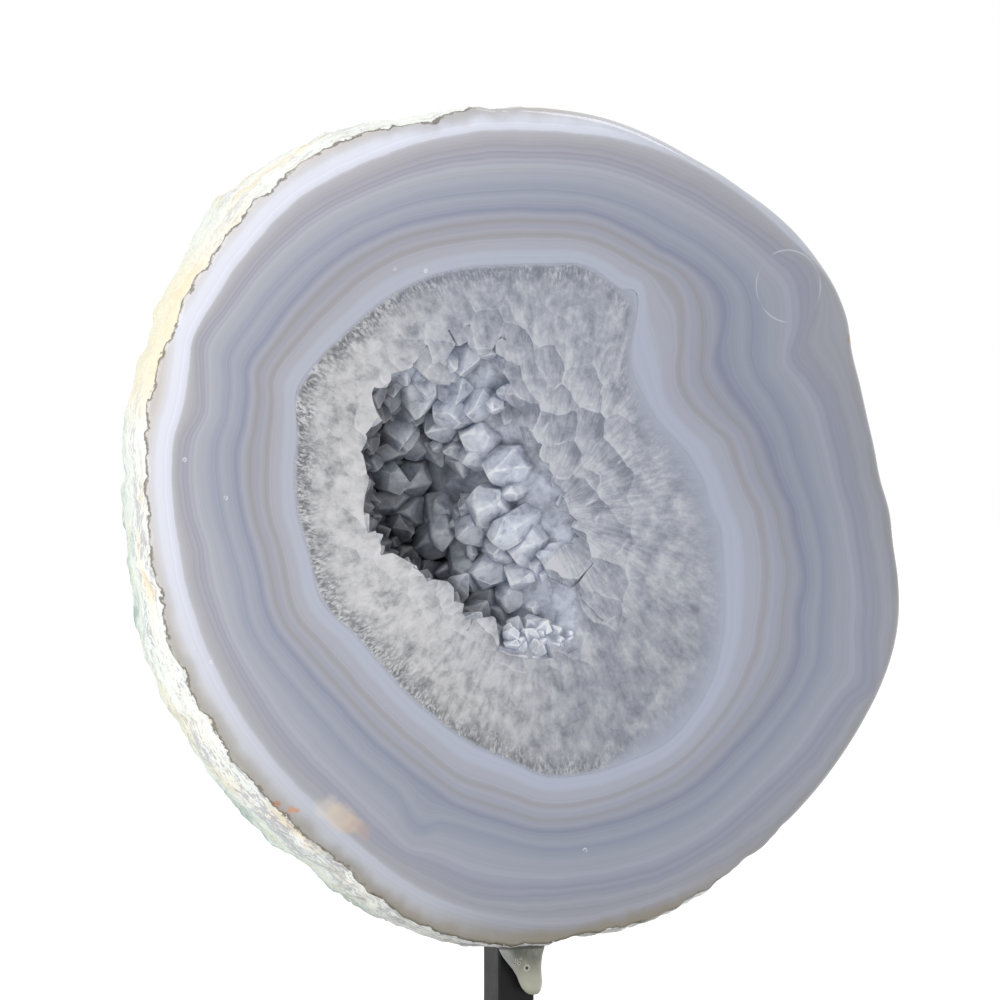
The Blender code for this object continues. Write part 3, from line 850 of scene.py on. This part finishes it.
def cut_quartz(look, place, warped):
    """Colour of the quartz on the polished cut: white blotches on the left, blue-grey ones on the
    right, and a fringe of fine dark needles at the agate, which turns soft on the right. Painted
    light
    and shade: a glow near the hollow's mouth, light and shade across the flakes there, and less light
    toward the lower right."""
    along_x, along_z, radius, turn = polar(look, FACE_CENTRE)
    spots = [(step / 48, quartz_edge(step * 7.5) / 0.1) for step in range(49)]
    edge = look.math("MULTIPLY", look.curve(turn, spots), 0.1)
    inside = look.math("SUBTRACT", edge, radius)

    def radial(length):
        """A vector whose noise is drawn out along the radius, this many times."""
        feeds = {
            0: look.math("MULTIPLY", along_x, 0.06),
            1: look.math("DIVIDE", inside, length),
            2: look.math("MULTIPLY", along_z, 0.06),
        }
        return look.add("CombineXYZ", feeds).outputs[0]

    blotch = look.noise(warped, 0.0050, 5.0, 0.66)
    streak = look.noise(radial(2.2), 0.0022, 4.0, 0.6)
    tone = look.blend(0.38, blotch, streak)
    outside = mouth_distance(look)
    # Flakes near the mouth, each painted lighter toward its lower left and darker toward its upper
    # right: painted light and shade as on tilted flakes
    straight = look.warp(place, 0.007, 0.0034)
    flakes = look.cells(straight, 0.0080, "F1", "Position")
    offset = look.add("VectorMath", {0: straight, 1: flakes}, operation="SUBTRACT").outputs[0]
    slope = look.add("VectorMath", {0: offset, 1: (-110.0, 0.0, -90.0)}, operation="DOT_PRODUCT")
    near = look.ramp_up(outside, -0.004, 0.013, 1.0, 0.0)
    rise = look.math("MULTIPLY", slope.outputs["Value"], look.math("MULTIPLY", near, 0.18))
    tone = look.math("ADD", tone, rise)
    borders = look.ramp_up(look.cells(straight, 0.0080, "DISTANCE_TO_EDGE"), 0.0, 0.05, 0.6, 0.0)
    broken = look.ramp_up(look.noise(place, 0.004, 2.0), 0.50, 0.62)
    border = look.math("MULTIPLY", borders, look.math("MULTIPLY", broken, near))
    white = look.gradient(tone, [
        (0.32, srgb(122, 124, 129)), (0.41, srgb(166, 168, 172)), (0.50, srgb(199, 200, 203)),
        (0.62, srgb(219, 220, 223)),
    ])
    # Paler within 10 mm of the hollow's mouth: a painted glow
    white = look.mix(look.ramp_up(outside, 0.0, 0.010, 0.30, 0.0), white, srgb(222, 223, 226))
    white = look.mix(border, white, srgb(240, 241, 243))
    blue = look.gradient(tone, [
        (0.33, srgb(128, 134, 148)), (0.43, srgb(153, 159, 172)), (0.52, srgb(174, 179, 190)),
        (0.66, srgb(204, 207, 214)),
    ])
    blue = look.mix(border, blue, srgb(220, 223, 230))
    slant = look.math("ADD", look.axis(0), look.math("MULTIPLY", look.axis(2), 0.35))
    slant = look.math("ADD", slant, look.math("MULTIPLY", look.noise(place, 0.02), 0.02))
    bluish = look.ramp_up(slant, 0.022, 0.070)
    milk = look.mix(bluish, white, blue)

    needles = look.noise(radial(2.6), 0.00062, 3.0, 0.7)
    reach = look.math("ADD", inside, look.math("MULTIPLY", look.noise(radial(1.5), 0.004), -0.010))
    fringe = look.ramp_up(reach, -0.005, 0.0035, 1.0, 0.0)
    dark = look.ramp_up(needles, 0.40, 0.62, 1.0, 0.0)
    grey = look.mix(bluish, srgb(98, 101, 107), srgb(124, 130, 142))
    milk = look.mix(look.math("MULTIPLY", fringe, look.math("MULTIPLY", dark, 0.9)), milk, grey)
    # Painted shade: less light on the cut toward its lower right
    low = look.math("SUBTRACT", look.math("MULTIPLY", look.axis(0), 0.5), look.axis(2))
    low = look.ramp_up(low, -0.182, -0.122)
    light = look.mix(low, QUARTZ_LIGHT, QUARTZ_LOW_LIGHT)
    milk = look.mix(1.0, milk, light, "MULTIPLY")

    soft_side = look.ramp_up(look.axis(0), 0.006, 0.030)
    soft = look.math("ADD", inside, look.math("MULTIPLY", look.math("SUBTRACT", needles, 0.5), 0.003))
    width = look.blend(soft_side, 0.0008, 0.009)
    fade = look.math("SUBTRACT", 1.0, look.math("DIVIDE", soft, width), clamp=True)
    light = side_shade(look, AGATE_DARK_INSIDE)
    rim = look.mix(1.0, srgb(*BAND_COLOURS[0][1]), light, "MULTIPLY")
    return look.mix(fade, milk, rim)


def crystal_quartz(look, place, warped):
    """Colour of the crystals in the hollow: hazy, with dark smudges inside. They are palest at their
    tips, painted light, and along their edges, painted highlights; clear ones get a painted sheen;
    and painted shade darkens them the deeper they lie and on the left wall under the rim."""
    haze = look.noise(warped, 0.0040, 4.0, 0.6)
    level = look.math("MULTIPLY", look.math("SUBTRACT", look.attribute("clarity"), 0.5), 0.10)
    # Painted light: paler toward each crystal's tip
    lit = look.math("MULTIPLY", look.attribute("lit"), 0.11)
    tone = look.math("ADD", look.math("ADD", haze, level), lit)
    clear = look.gradient(tone, [
        (0.34, srgb(162, 166, 176)), (0.46, srgb(190, 194, 204)), (0.60, srgb(212, 216, 224)),
        (0.80, srgb(236, 238, 243)),
    ])
    smudge = look.ramp_up(look.noise(place, 0.0034, 2.0), 0.30, 0.42, 0.4, 0.0)
    clear = look.mix(smudge, clear, srgb(118, 124, 137))
    # Pale lines along the crystals' edges, broken by noise and strongest near the tips: painted
    # highlights, and partly pale chips
    glint = look.ramp_up(look.noise(place, 0.0026, 2.0), 0.35, 0.62, 0.0, 0.9)
    # Clear crystals take the painted edge highlight all along their edges and a painted sheen that
    # makes them paler all over
    glassy = look.ramp_up(look.attribute("clarity"), 0.85, 0.95)
    glint = look.math("MAXIMUM", look.math("MULTIPLY", glint, look.attribute("lit")), glassy)
    clear = look.mix(look.math("MULTIPLY", glassy, 0.35), clear, srgb(244, 245, 248))
    clear = look.mix(look.math("MULTIPLY", look.attribute("edge"), glint), clear, srgb(250, 251, 253))
    depth = look.math("SUBTRACT", look.axis(1), FACE_Y)
    # Painted shade: darker the deeper the crystal lies below the face
    deep_shade = look.ramp_up(depth, 0.012, 0.032)
    clear = look.mix(deep_shade, clear, look.mix(1.0, clear, srgb(160, 160, 160), "MULTIPLY"))
    # Painted shade on the left wall, under the overhanging rim
    along_x, along_z, _, _ = polar(look, MOUTH_CENTRE)
    leftness = look.math("ADD", look.math("MULTIPLY", along_x, 2.0), along_z)
    wall_shade = look.math(
        "MULTIPLY", look.ramp_up(leftness, -0.8, 0.0, 1.0, 0.0), look.ramp_up(depth, 0.002, 0.008)
    )
    wall_shade = look.math("MULTIPLY", wall_shade, look.ramp_up(mouth_distance(look), -0.020, -0.010))
    clear = look.mix(wall_shade, clear, look.mix(1.0, clear, srgb(146, 145, 144), "MULTIPLY"))
    return look.mix(1.0, clear, CRYSTAL_LIGHT, "MULTIPLY")


def hollow_points(angles, climb):
    """Points of the hollow's bare wall at angles round its mouth, 0 at the mouth."""
    knots, radii = zip(*MOUTH_OUTLINE)
    mouth = face_points(angles, closed_curve(knots, radii, angles) * MM, 0.0, MOUTH_CENTRE)
    top = np.array((DEEPEST_TOP[0], FACE_Y, DEEPEST_TOP[1]))
    foot = np.array((DEEPEST_FOOT[0], FACE_Y, DEEPEST_FOOT[1]))
    share = 0.5 - 0.5 * np.sin(np.radians(angles))
    deepest = top + (foot - top) * np.expand_dims(share, -1)
    points = mouth + (deepest - mouth) * climb
    power = WALL_POWER + WALL_POWER_SWING * np.cos(np.radians(angles))
    points[..., 1] += HOLLOW_DEPTH * climb**power
    for x, z, radius, depth in PITS:
        distance = np.hypot(points[..., 0] - x, points[..., 2] - z)
        points[..., 1] += depth * np.maximum(0.0, 1.0 - (distance / radius) ** 2) ** 1.5 * (climb > 0)
    return points


def quartz_edge(angles):
    """Radius in metres of the quartz on the face at some angles."""
    return band_radii(angles)[0] * MM


def polytope(planes, size, rounding, segments):
    """A convex solid bounded by planes of a normal and a distance, with rounded edges."""
    bm = bmesh.new()
    bmesh.ops.create_cube(bm, size=size)
    for normal, distance in planes:
        everything = bm.verts[:] + bm.edges[:] + bm.faces[:]
        cut = bmesh.ops.bisect_plane(
            bm, geom=everything, plane_co=normal * distance, plane_no=normal, clear_outer=True
        )
        edges = [part for part in cut["geom_cut"] if isinstance(part, bmesh.types.BMEdge)]
        if edges:
            bmesh.ops.edgeloop_fill(bm, edges=edges)
    bmesh.ops.bevel(
        bm, geom=bm.edges[:], offset=rounding, segments=segments, profile=0.5,
        affect="EDGES", clamp_overlap=True,
    )
    # The band along every edge is marked 1; it carries the crystals' painted edge highlight
    edge = bm.verts.layers.float.new("edge")
    for vert in bm.verts:
        vert[edge] = 1.0
    sides = [face for face in bm.faces if face.calc_area() > (4.0 * rounding) ** 2]
    bmesh.ops.inset_individual(bm, faces=sides, thickness=0.0)
    for side in sides:
        centre = side.calc_center_median()
        reach = sum((vert.co - centre).length for vert in side.verts) / len(side.verts)
        shrink = max(0.4, 1.0 - EDGE_GLOW / reach)
        for vert in side.verts:
            vert.co = centre + (vert.co - centre) * shrink
            vert[edge] = 0.0
    return bm


def quartz_crystal(width, length, draw, bluntness):
    """A six-sided crystal with its tip at the origin, its axis along +Z and unequal faces. Its
    edges are rounded by at most this part of its width."""
    planes = []
    for side in range(6):
        turn = side * pi / 3
        planes.append((Vector((cos(turn), sin(turn), 0.0)), width / 2 * draw.uniform(0.82, 1.15)))
    for side in range(6):
        turn = side * pi / 3
        normal = Vector((cos(turn) * sin(PYRAMID_TILT), sin(turn) * sin(PYRAMID_TILT),
                         cos(PYRAMID_TILT)))
        setback = 0.0 if side % 2 else draw.uniform(0.01, 0.16)
        planes.append((normal, setback * width))
    planes.append((Vector((0.0, 0.0, -1.0)), length))
    rounding = max(min(CRYSTAL_ROUNDING, width * 0.06), width * bluntness)
    return polytope(planes, 3.0 * length + width, rounding, 2 if width > 0.005 else 1)


def place_crystal(group, materials, tip, direction, width, length, draw, clearest=0.8,
                  bluntness=0.0):
    """One crystal in a collection, its tip at a point and pointing along a direction."""
    bm = quartz_crystal(width, length, draw, bluntness)
    clarity = bm.verts.layers.float.new("clarity")
    lit = bm.verts.layers.float.new("lit")
    level = clearest if clearest == 1.0 else draw.random() * clearest
    for vert in bm.verts:
        vert[clarity] = level
        # Painted light, 1 at the tip and fading to 0 this many widths down
        vert[lit] = max(0.0, 1.0 + vert.co.z / (LIT_TIP * width))
    turn = Vector(direction).to_track_quat("Z", "Y").to_matrix().to_4x4()
    spin = Matrix.Rotation(draw.uniform(0.0, pi / 3), 4, "Z")
    bmesh.ops.transform(bm, matrix=Matrix.Translation(tip) @ turn @ spin, verts=bm.verts)
    mesh = bpy.data.meshes.new("crystal")
    bm.to_mesh(mesh)
    bm.free()
    for material in materials:
        mesh.materials.append(material)
    group.objects.link(bpy.data.objects.new("crystal", mesh))


def hollow_normal(angle, climb):
    """The way out of the hollow's wall at a spot."""
    down = hollow_points(angle, climb + 0.01) - hollow_points(angle, max(0.0, climb - 0.01))
    along = hollow_points(angle + 1.0, climb) - hollow_points(angle - 1.0, climb)
    return Vector(np.cross(along, down)).normalized()


def grow_crystals(materials):
    """All crystals of the hollow, as separate solids in a collection."""
    draw = Random(CRYSTAL_SEED)
    group = bpy.data.collections.new("crystals")
    taken = []
    for x, z, depth, direction, width, length in HERO_CRYSTALS:
        tip = Vector((x + CAMERA_SLANT * depth, FACE_Y / MM + depth, z)) * MM
        taken.append((tip, 0.55 * width * MM))
        place_crystal(group, materials, tip, direction, width * MM, length * MM, draw)
    taken += grow_glassy(group, materials, draw)
    grow_rim(group, materials, draw)
    for sizes in CRYSTAL_CLASSES:
        strew_crystals(group, materials, draw, taken, sizes, on_left_wall=False)
    strew_crystals(group, materials, draw, taken, WALL_CRYSTALS, on_left_wall=True)
    return group


def strew_crystals(group, materials, draw, taken, sizes, on_left_wall):
    """Crystals of one class of sizes on the hidden left wall, or all over the rest."""
    spacing, thin, thick, low, high = sizes
    for _ in range(CRYSTAL_TRIES):
        angle = draw.uniform(0.0, 360.0)
        climb = 1.0 - draw.random() ** 0.62
        root = Vector(hollow_points(angle, climb))
        if any((root - other).length < reach + spacing / 2 for other, reach in taken):
            continue
        lean = Vector([draw.uniform(-1.0, 1.0) for _ in range(3)]) * CRYSTAL_LEAN
        lying = max(0.0, cos(radians(angle - SHINGLE_ANGLE))) * (1.0 - climb)
        upright = hollow_normal(angle, climb) * (1.0 - SHINGLE_LEAN * lying)
        direction = (upright + lean + SHINGLE_WAY * lying).normalized()
        height = draw.uniform(low, high) * (1.0 + lying / 2)
        width = draw.uniform(thin, thick) * (1.0 + lying / 3)
        hidden = climb < WALL_SPAN[1] and cos(radians(angle)) < -0.45
        if hidden != on_left_wall or hidden and climb < WALL_SPAN[0]:
            continue
        tip = root + direction * height
        if any((tip - other).length < reach * 0.8 for other, reach in taken[:len(HERO_CRYSTALS)]):
            continue
        taken.append((root, spacing / 2))
        place_crystal(group, materials, tip, direction, width, height + CRYSTAL_ROOT, draw)


def grow_glassy(group, materials, draw):
    """The cluster of small clear crystals at the hollow's foot, and the spots that they take."""
    taken = []
    for step in range(GLASSY_COUNT):
        turn = step * 2.4
        reach = ((step + 0.5) / GLASSY_COUNT) ** 0.5
        x = GLASSY_MIDDLE[0] + GLASSY_HALF[0] * reach * cos(turn)
        z = GLASSY_MIDDLE[1] + GLASSY_HALF[1] * reach * sin(turn)
        width = draw.uniform(*GLASSY_WIDTHS) * MM
        tip = Vector((x, FACE_Y / MM + draw.uniform(*GLASSY_DEPTHS), z)) * MM
        direction = (cos(turn) * reach, draw.uniform(-1.2, -0.5), sin(turn) * reach)
        taken.append((tip, 0.8 * width))
        place_crystal(group, materials, tip, direction, width, 2.2 * width, draw, 1.0)
    return taken


def grow_rim(group, materials, draw):
    """Crystals along the left rim that point into the hollow and are cut open by the face."""
    for step in range(RIM_CRYSTALS):
        place = (step + draw.uniform(-0.35, 0.35)) / RIM_CRYSTALS
        angle = RIM_SPAN[0] + (RIM_SPAN[1] - RIM_SPAN[0]) * place
        mouth = Vector(hollow_points(angle, 0.0))
        turn = radians(angle + 180.0 + draw.uniform(-40.0, 40.0))
        direction = Vector((cos(turn), draw.uniform(-0.35, 0.15), sin(turn))).normalized()
        tip = mouth + direction * draw.uniform(*RIM_REACH)
        tip.y += draw.uniform(0.0, 0.0030)
        width = draw.uniform(*RIM_WIDTHS)
        place_crystal(
            group, materials, tip, direction, width, width + 0.008, draw, bluntness=RIM_BLUNTNESS
        )


def bare_hollow(materials):
    """The hollow's bare space, reaching a little out of the face."""
    angles = np.arange(HOLLOW_SIDES) * 360.0 / HOLLOW_SIDES
    mouth = hollow_points(angles, 0.0)
    rings = [mouth - np.array((0.0, 0.002, 0.0)), mouth - np.array((0.0, 0.0002, 0.0))]
    for row in range(HOLLOW_RINGS):
        ring = hollow_points(angles, (row + 0.3) / HOLLOW_RINGS)
        lumps = sum(smooth_noise(ring, wave) * height for wave, height in WALL_LUMPS)
        rings.append(ring + lumps[:, None] * np.array((0.5, 0.8, 0.5)))
    points = np.concatenate(rings)
    faces = [tuple(face) for face in grid_faces(len(rings), HOLLOW_SIDES)]
    points = np.concatenate((points, hollow_points(0.0, 1.0)[None]))
    last = len(points) - 1
    start = last - HOLLOW_SIDES
    faces += [(last, start + (s + 1) % HOLLOW_SIDES, start + s) for s in range(HOLLOW_SIDES)]
    faces.append(tuple(range(HOLLOW_SIDES)))
    return mesh_object("bare_hollow", points, faces, materials)


def quartz_bowl(materials):
    """The quartz as if it had no hollow: a bowl-shaped filling of the socket."""
    angles = np.arange(BOWL_SIDES) * 360.0 / BOWL_SIDES
    edge = quartz_edge(angles) - SEAM
    rings = []
    for row in range(BOWL_RINGS):
        swing = row / BOWL_RINGS * pi / 2
        radii = edge * cos(swing) ** SOCKET_FULLNESS - TOUCH_GAP * sin(swing)
        rings.append(face_points(angles, radii, (SOCKET_DEPTH - TOUCH_GAP) * sin(swing)))
    points = np.concatenate(rings + [face_points(0.0, 0.0, SOCKET_DEPTH - TOUCH_GAP)[None]])
    faces = [tuple(face) for face in grid_faces(BOWL_RINGS, BOWL_SIDES)]
    last = len(points) - 1
    start = last - BOWL_SIDES
    faces += [(last, start + (s + 1) % BOWL_SIDES, start + s) for s in range(BOWL_SIDES)]
    faces.append(tuple(range(BOWL_SIDES)))
    return mesh_object("crystal_crust", points, faces, materials)


def subtract(item, cutter):
    """Cut an object or a collection out of a mesh object."""
    cut = item.modifiers.new("cut", "BOOLEAN")
    cut.operation = "DIFFERENCE"
    cut.solver = "MANIFOLD"
    if isinstance(cutter, bpy.types.Collection):
        cut.operand_type = "COLLECTION"
        cut.collection = cutter
    else:
        cut.object = cutter
    bpy.context.view_layer.update()
    result = bpy.data.meshes.new_from_object(
        item.evaluated_get(bpy.context.evaluated_depsgraph_get())
    )
    item.modifiers.clear()
    item.data = result


def keep_largest_shell(item):
    """Delete the loose bits of a mesh object, all but its largest connected part."""
    bm = bmesh.new()
    bm.from_mesh(item.data)
    bm.verts.ensure_lookup_table()
    unseen = set(bm.verts)
    shells = []
    while unseen:
        stack = [unseen.pop()]
        shell = list(stack)
        while stack:
            for edge in stack.pop().link_edges:
                for vert in edge.verts:
                    if vert in unseen:
                        unseen.remove(vert)
                        stack.append(vert)
                        shell.append(vert)
        shells.append(shell)
    shells.sort(key=len)
    loose = [vert for shell in shells[:-1] for vert in shell]
    bmesh.ops.delete(bm, geom=loose, context="VERTS")
    bm.to_mesh(item.data)
    bm.free()


def crystal_crust(materials):
    """The quartz that lines the hollow: a bowl less the open space between its crystals."""
    group = grow_crystals(materials)
    bpy.context.scene.collection.children.link(group)
    hollow = bare_hollow(materials)
    subtract(hollow, group)
    crust = quartz_bowl(materials)
    subtract(crust, hollow)
    keep_largest_shell(crust)
    for item in list(group.objects) + [hollow]:
        bpy.data.objects.remove(item)
    bpy.data.collections.remove(group)
    crust.data.set_sharp_from_angle(angle=radians(40.0))
    return crust


def glue_material():
    """Clear hardened glue, greenish grey and full of fine haze."""
    look = Look("epoxy_glue")
    place = look.place()
    low = look.ramp_up(look.axis(2), 0.0595, 0.072, 1.0, 0.0)
    colour = look.mix(low, srgb(84, 88, 76), srgb(222, 221, 200))
    haze = look.ramp_up(look.noise(place, 0.003, 3.0), 0.40, 0.75, 0.0, 0.5)
    colour = look.mix(haze, colour, srgb(200, 201, 186))
    film = look.math("ADD", look.axis(0), look.math("MULTIPLY", look.axis(2), 0.45))
    film = look.ramp_up(film, 0.0262, 0.0290, 0.7, 0.0)
    colour = look.mix(film, colour, srgb(214, 216, 216))
    # Dark band at the drip's top: painted shadow under the stone
    shadow_under_stone = look.ramp_up(look.axis(2), 0.0702, 0.0710, 0.0, 0.8)
    colour = look.mix(shadow_under_stone, colour, srgb(48, 46, 42))
    # Bubbles painted as open pits: a pale ring round a dark middle that is painted shade inside the
    # pit
    for x, z, radius in BUBBLES:
        distance = face_distance(look, place, x, z)
        pale = look.ramp_up(distance, radius * 0.8 * MM, radius * 1.3 * MM, 0.85, 0.0)
        colour = look.mix(pale, colour, srgb(226, 226, 214))
        dark = look.ramp_up(distance, radius * 0.4 * MM, radius * 0.7 * MM, 1.0, 0.0)
        colour = look.mix(dark, colour, srgb(40, 44, 38))
    look.surface(Base_Color=colour, Roughness=0.12, IOR=1.5, Transmission_Weight=0.30)
    return look.material


def glue_drip(material):
    """The drip of glue that ran down the post's front."""
    turns = np.arange(DRIP_SIDES) * 2.0 * pi / DRIP_SIDES
    rows = []
    for height, left, right, half_depth in DRIP_ROWS:
        x = (left + right) / 2 + (right - left) / 2 * np.cos(turns)
        y = DRIP_FRONT / MM + half_depth * np.sin(turns)
        rows.append(np.stack((x, y, height + 0.0 * x), axis=-1) * MM)
    tip = np.array((3.4, DRIP_FRONT / MM, 58.6)) * MM
    points = np.concatenate(rows + [tip[None]])
    faces = [tuple(face) for face in grid_faces(len(rows), DRIP_SIDES)]
    last = len(points) - 1
    start = last - DRIP_SIDES
    faces += [(last, start + (s + 1) % DRIP_SIDES, start + s) for s in range(DRIP_SIDES)]
    faces.append(tuple(range(DRIP_SIDES)))
    return mesh_object("glue_drip", points, faces, [material])


def camera():
    """The camera at the photo's viewing angle."""
    forward = Vector((-sin(CAMERA_AZIMUTH), cos(CAMERA_AZIMUTH), 0.0))
    right = Vector((cos(CAMERA_AZIMUTH), sin(CAMERA_AZIMUTH), 0.0))
    data = bpy.data.cameras.new("photo_camera")
    data.lens = CAMERA_LENS
    data.sensor_width = CAMERA_SENSOR
    data.clip_start = 0.05
    data.clip_end = 50.0
    item = bpy.data.objects.new("photo_camera", data)
    item.location = right * CAMERA_ASIDE - forward * CAMERA_DISTANCE
    item.location.z = CAMERA_HEIGHT
    item.rotation_euler = (pi / 2, 0.0, CAMERA_AZIMUTH)
    bpy.context.scene.collection.objects.link(item)
    bpy.context.scene.camera = item


def add_light(name, kind, azimuth, elevation, strength, **settings):
    """A light that shines at the stone from an azimuth round it and an elevation."""
    data = bpy.data.lights.new(name, kind)
    data.energy = strength
    for key, value in settings.items():
        setattr(data, key, value)
    item = bpy.data.objects.new(name, data)
    turn = radians(azimuth)
    rise = radians(elevation)
    back = Vector((sin(turn) * cos(rise), -cos(turn) * cos(rise), sin(rise)))
    item.location = Vector((0.0, 0.0, 0.18)) + back * 1.6
    item.rotation_mode = "QUATERNION"
    item.rotation_quaternion = (-back).to_track_quat("-Z", "Y")
    bpy.context.scene.collection.objects.link(item)
    return item


def studio():
    """A pale floor, a white surround and soft suns."""
    look = Look("pale_floor")
    look.surface(
        Base_Color=(0.86, 0.86, 0.86, 1.0), Roughness=0.8,
        Emission_Color=(1.0, 1.0, 1.0, 1.0), Emission_Strength=0.22,
    )
    bm = bmesh.new()
    bmesh.ops.create_circle(bm, cap_ends=True, segments=96, radius=30.0)
    mesh = bpy.data.meshes.new("floor")
    bm.to_mesh(mesh)
    bm.free()
    mesh.materials.append(look.material)
    floor = bpy.data.objects.new("floor", mesh)
    floor.location.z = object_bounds()[0].z - 0.0002
    bpy.context.scene.collection.objects.link(floor)

    world = bpy.data.worlds.new("white_studio")
    world.use_nodes = True
    bpy.context.scene.world = world
    nodes = world.node_tree.nodes
    links = world.node_tree.links
    background = nodes["Background"]
    direction = nodes.new("ShaderNodeTexCoord").outputs["Generated"]
    split = nodes.new("ShaderNodeSeparateXYZ")
    links.new(direction, split.inputs[0])
    behind = nodes.new("ShaderNodeMapRange")
    links.new(split.outputs["Y"], behind.inputs[0])
    behind.inputs[1].default_value = -0.9
    behind.inputs[2].default_value = 0.3
    behind.inputs[3].default_value = 0.56
    behind.inputs[4].default_value = 0.95
    seen = nodes.new("ShaderNodeLightPath").outputs["Is Camera Ray"]
    strength = nodes.new("ShaderNodeMix")
    links.new(seen, strength.inputs[0])
    links.new(behind.outputs[0], strength.inputs[2])
    strength.inputs[3].default_value = 1.0
    links.new(strength.outputs[0], background.inputs["Strength"])
    background.inputs["Color"].default_value = (1.0, 1.0, 1.0, 1.0)

    add_light("left_key", "SUN", -78.0, 28.0, 0.9, angle=radians(60.0))
    add_light("front_fill", "SUN", -20.0, 30.0, 0.62, angle=radians(90.0))
    add_light("right_streak", "SUN", 70.0, 52.0, 0.5, angle=radians(24.0))


def stand_finish():
    """Satin black paint with a fine orange-peel surface, on the post and the base."""
    look = Look("black_paint")
    place = look.place()
    look.surface(
        Base_Color=look.mix(look.noise(place, 0.006, 3.0), srgb(16, 16, 17), srgb(25, 25, 26)),
        Roughness=look.blend(look.noise(place, 0.003, 2.0), 0.38, 0.52),
        Specular_IOR_Level=0.25,
        Normal=look.bump(look.noise(place, 0.0009, 2.0), 0.00008, 0.6),
    )
    for name in ("stand_post", "stand_base"):
        item = frame["nodes"][name]
        for slot in item.material_slots:
            slot.material = look.material


def main():
    bpy.context.scene.view_settings.view_transform = "Standard"
    camera()
    studio()
    stand_finish()
    stone = stone_mesh(agate_material())
    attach(stone, "root")
    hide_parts("agate_body")
    crust = crystal_crust([quartz_material()])
    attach(crust, "root")
    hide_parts("quartz_crust")
    drip = glue_drip(glue_material())
    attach(drip, "root")
    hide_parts("epoxy_glue")


main()
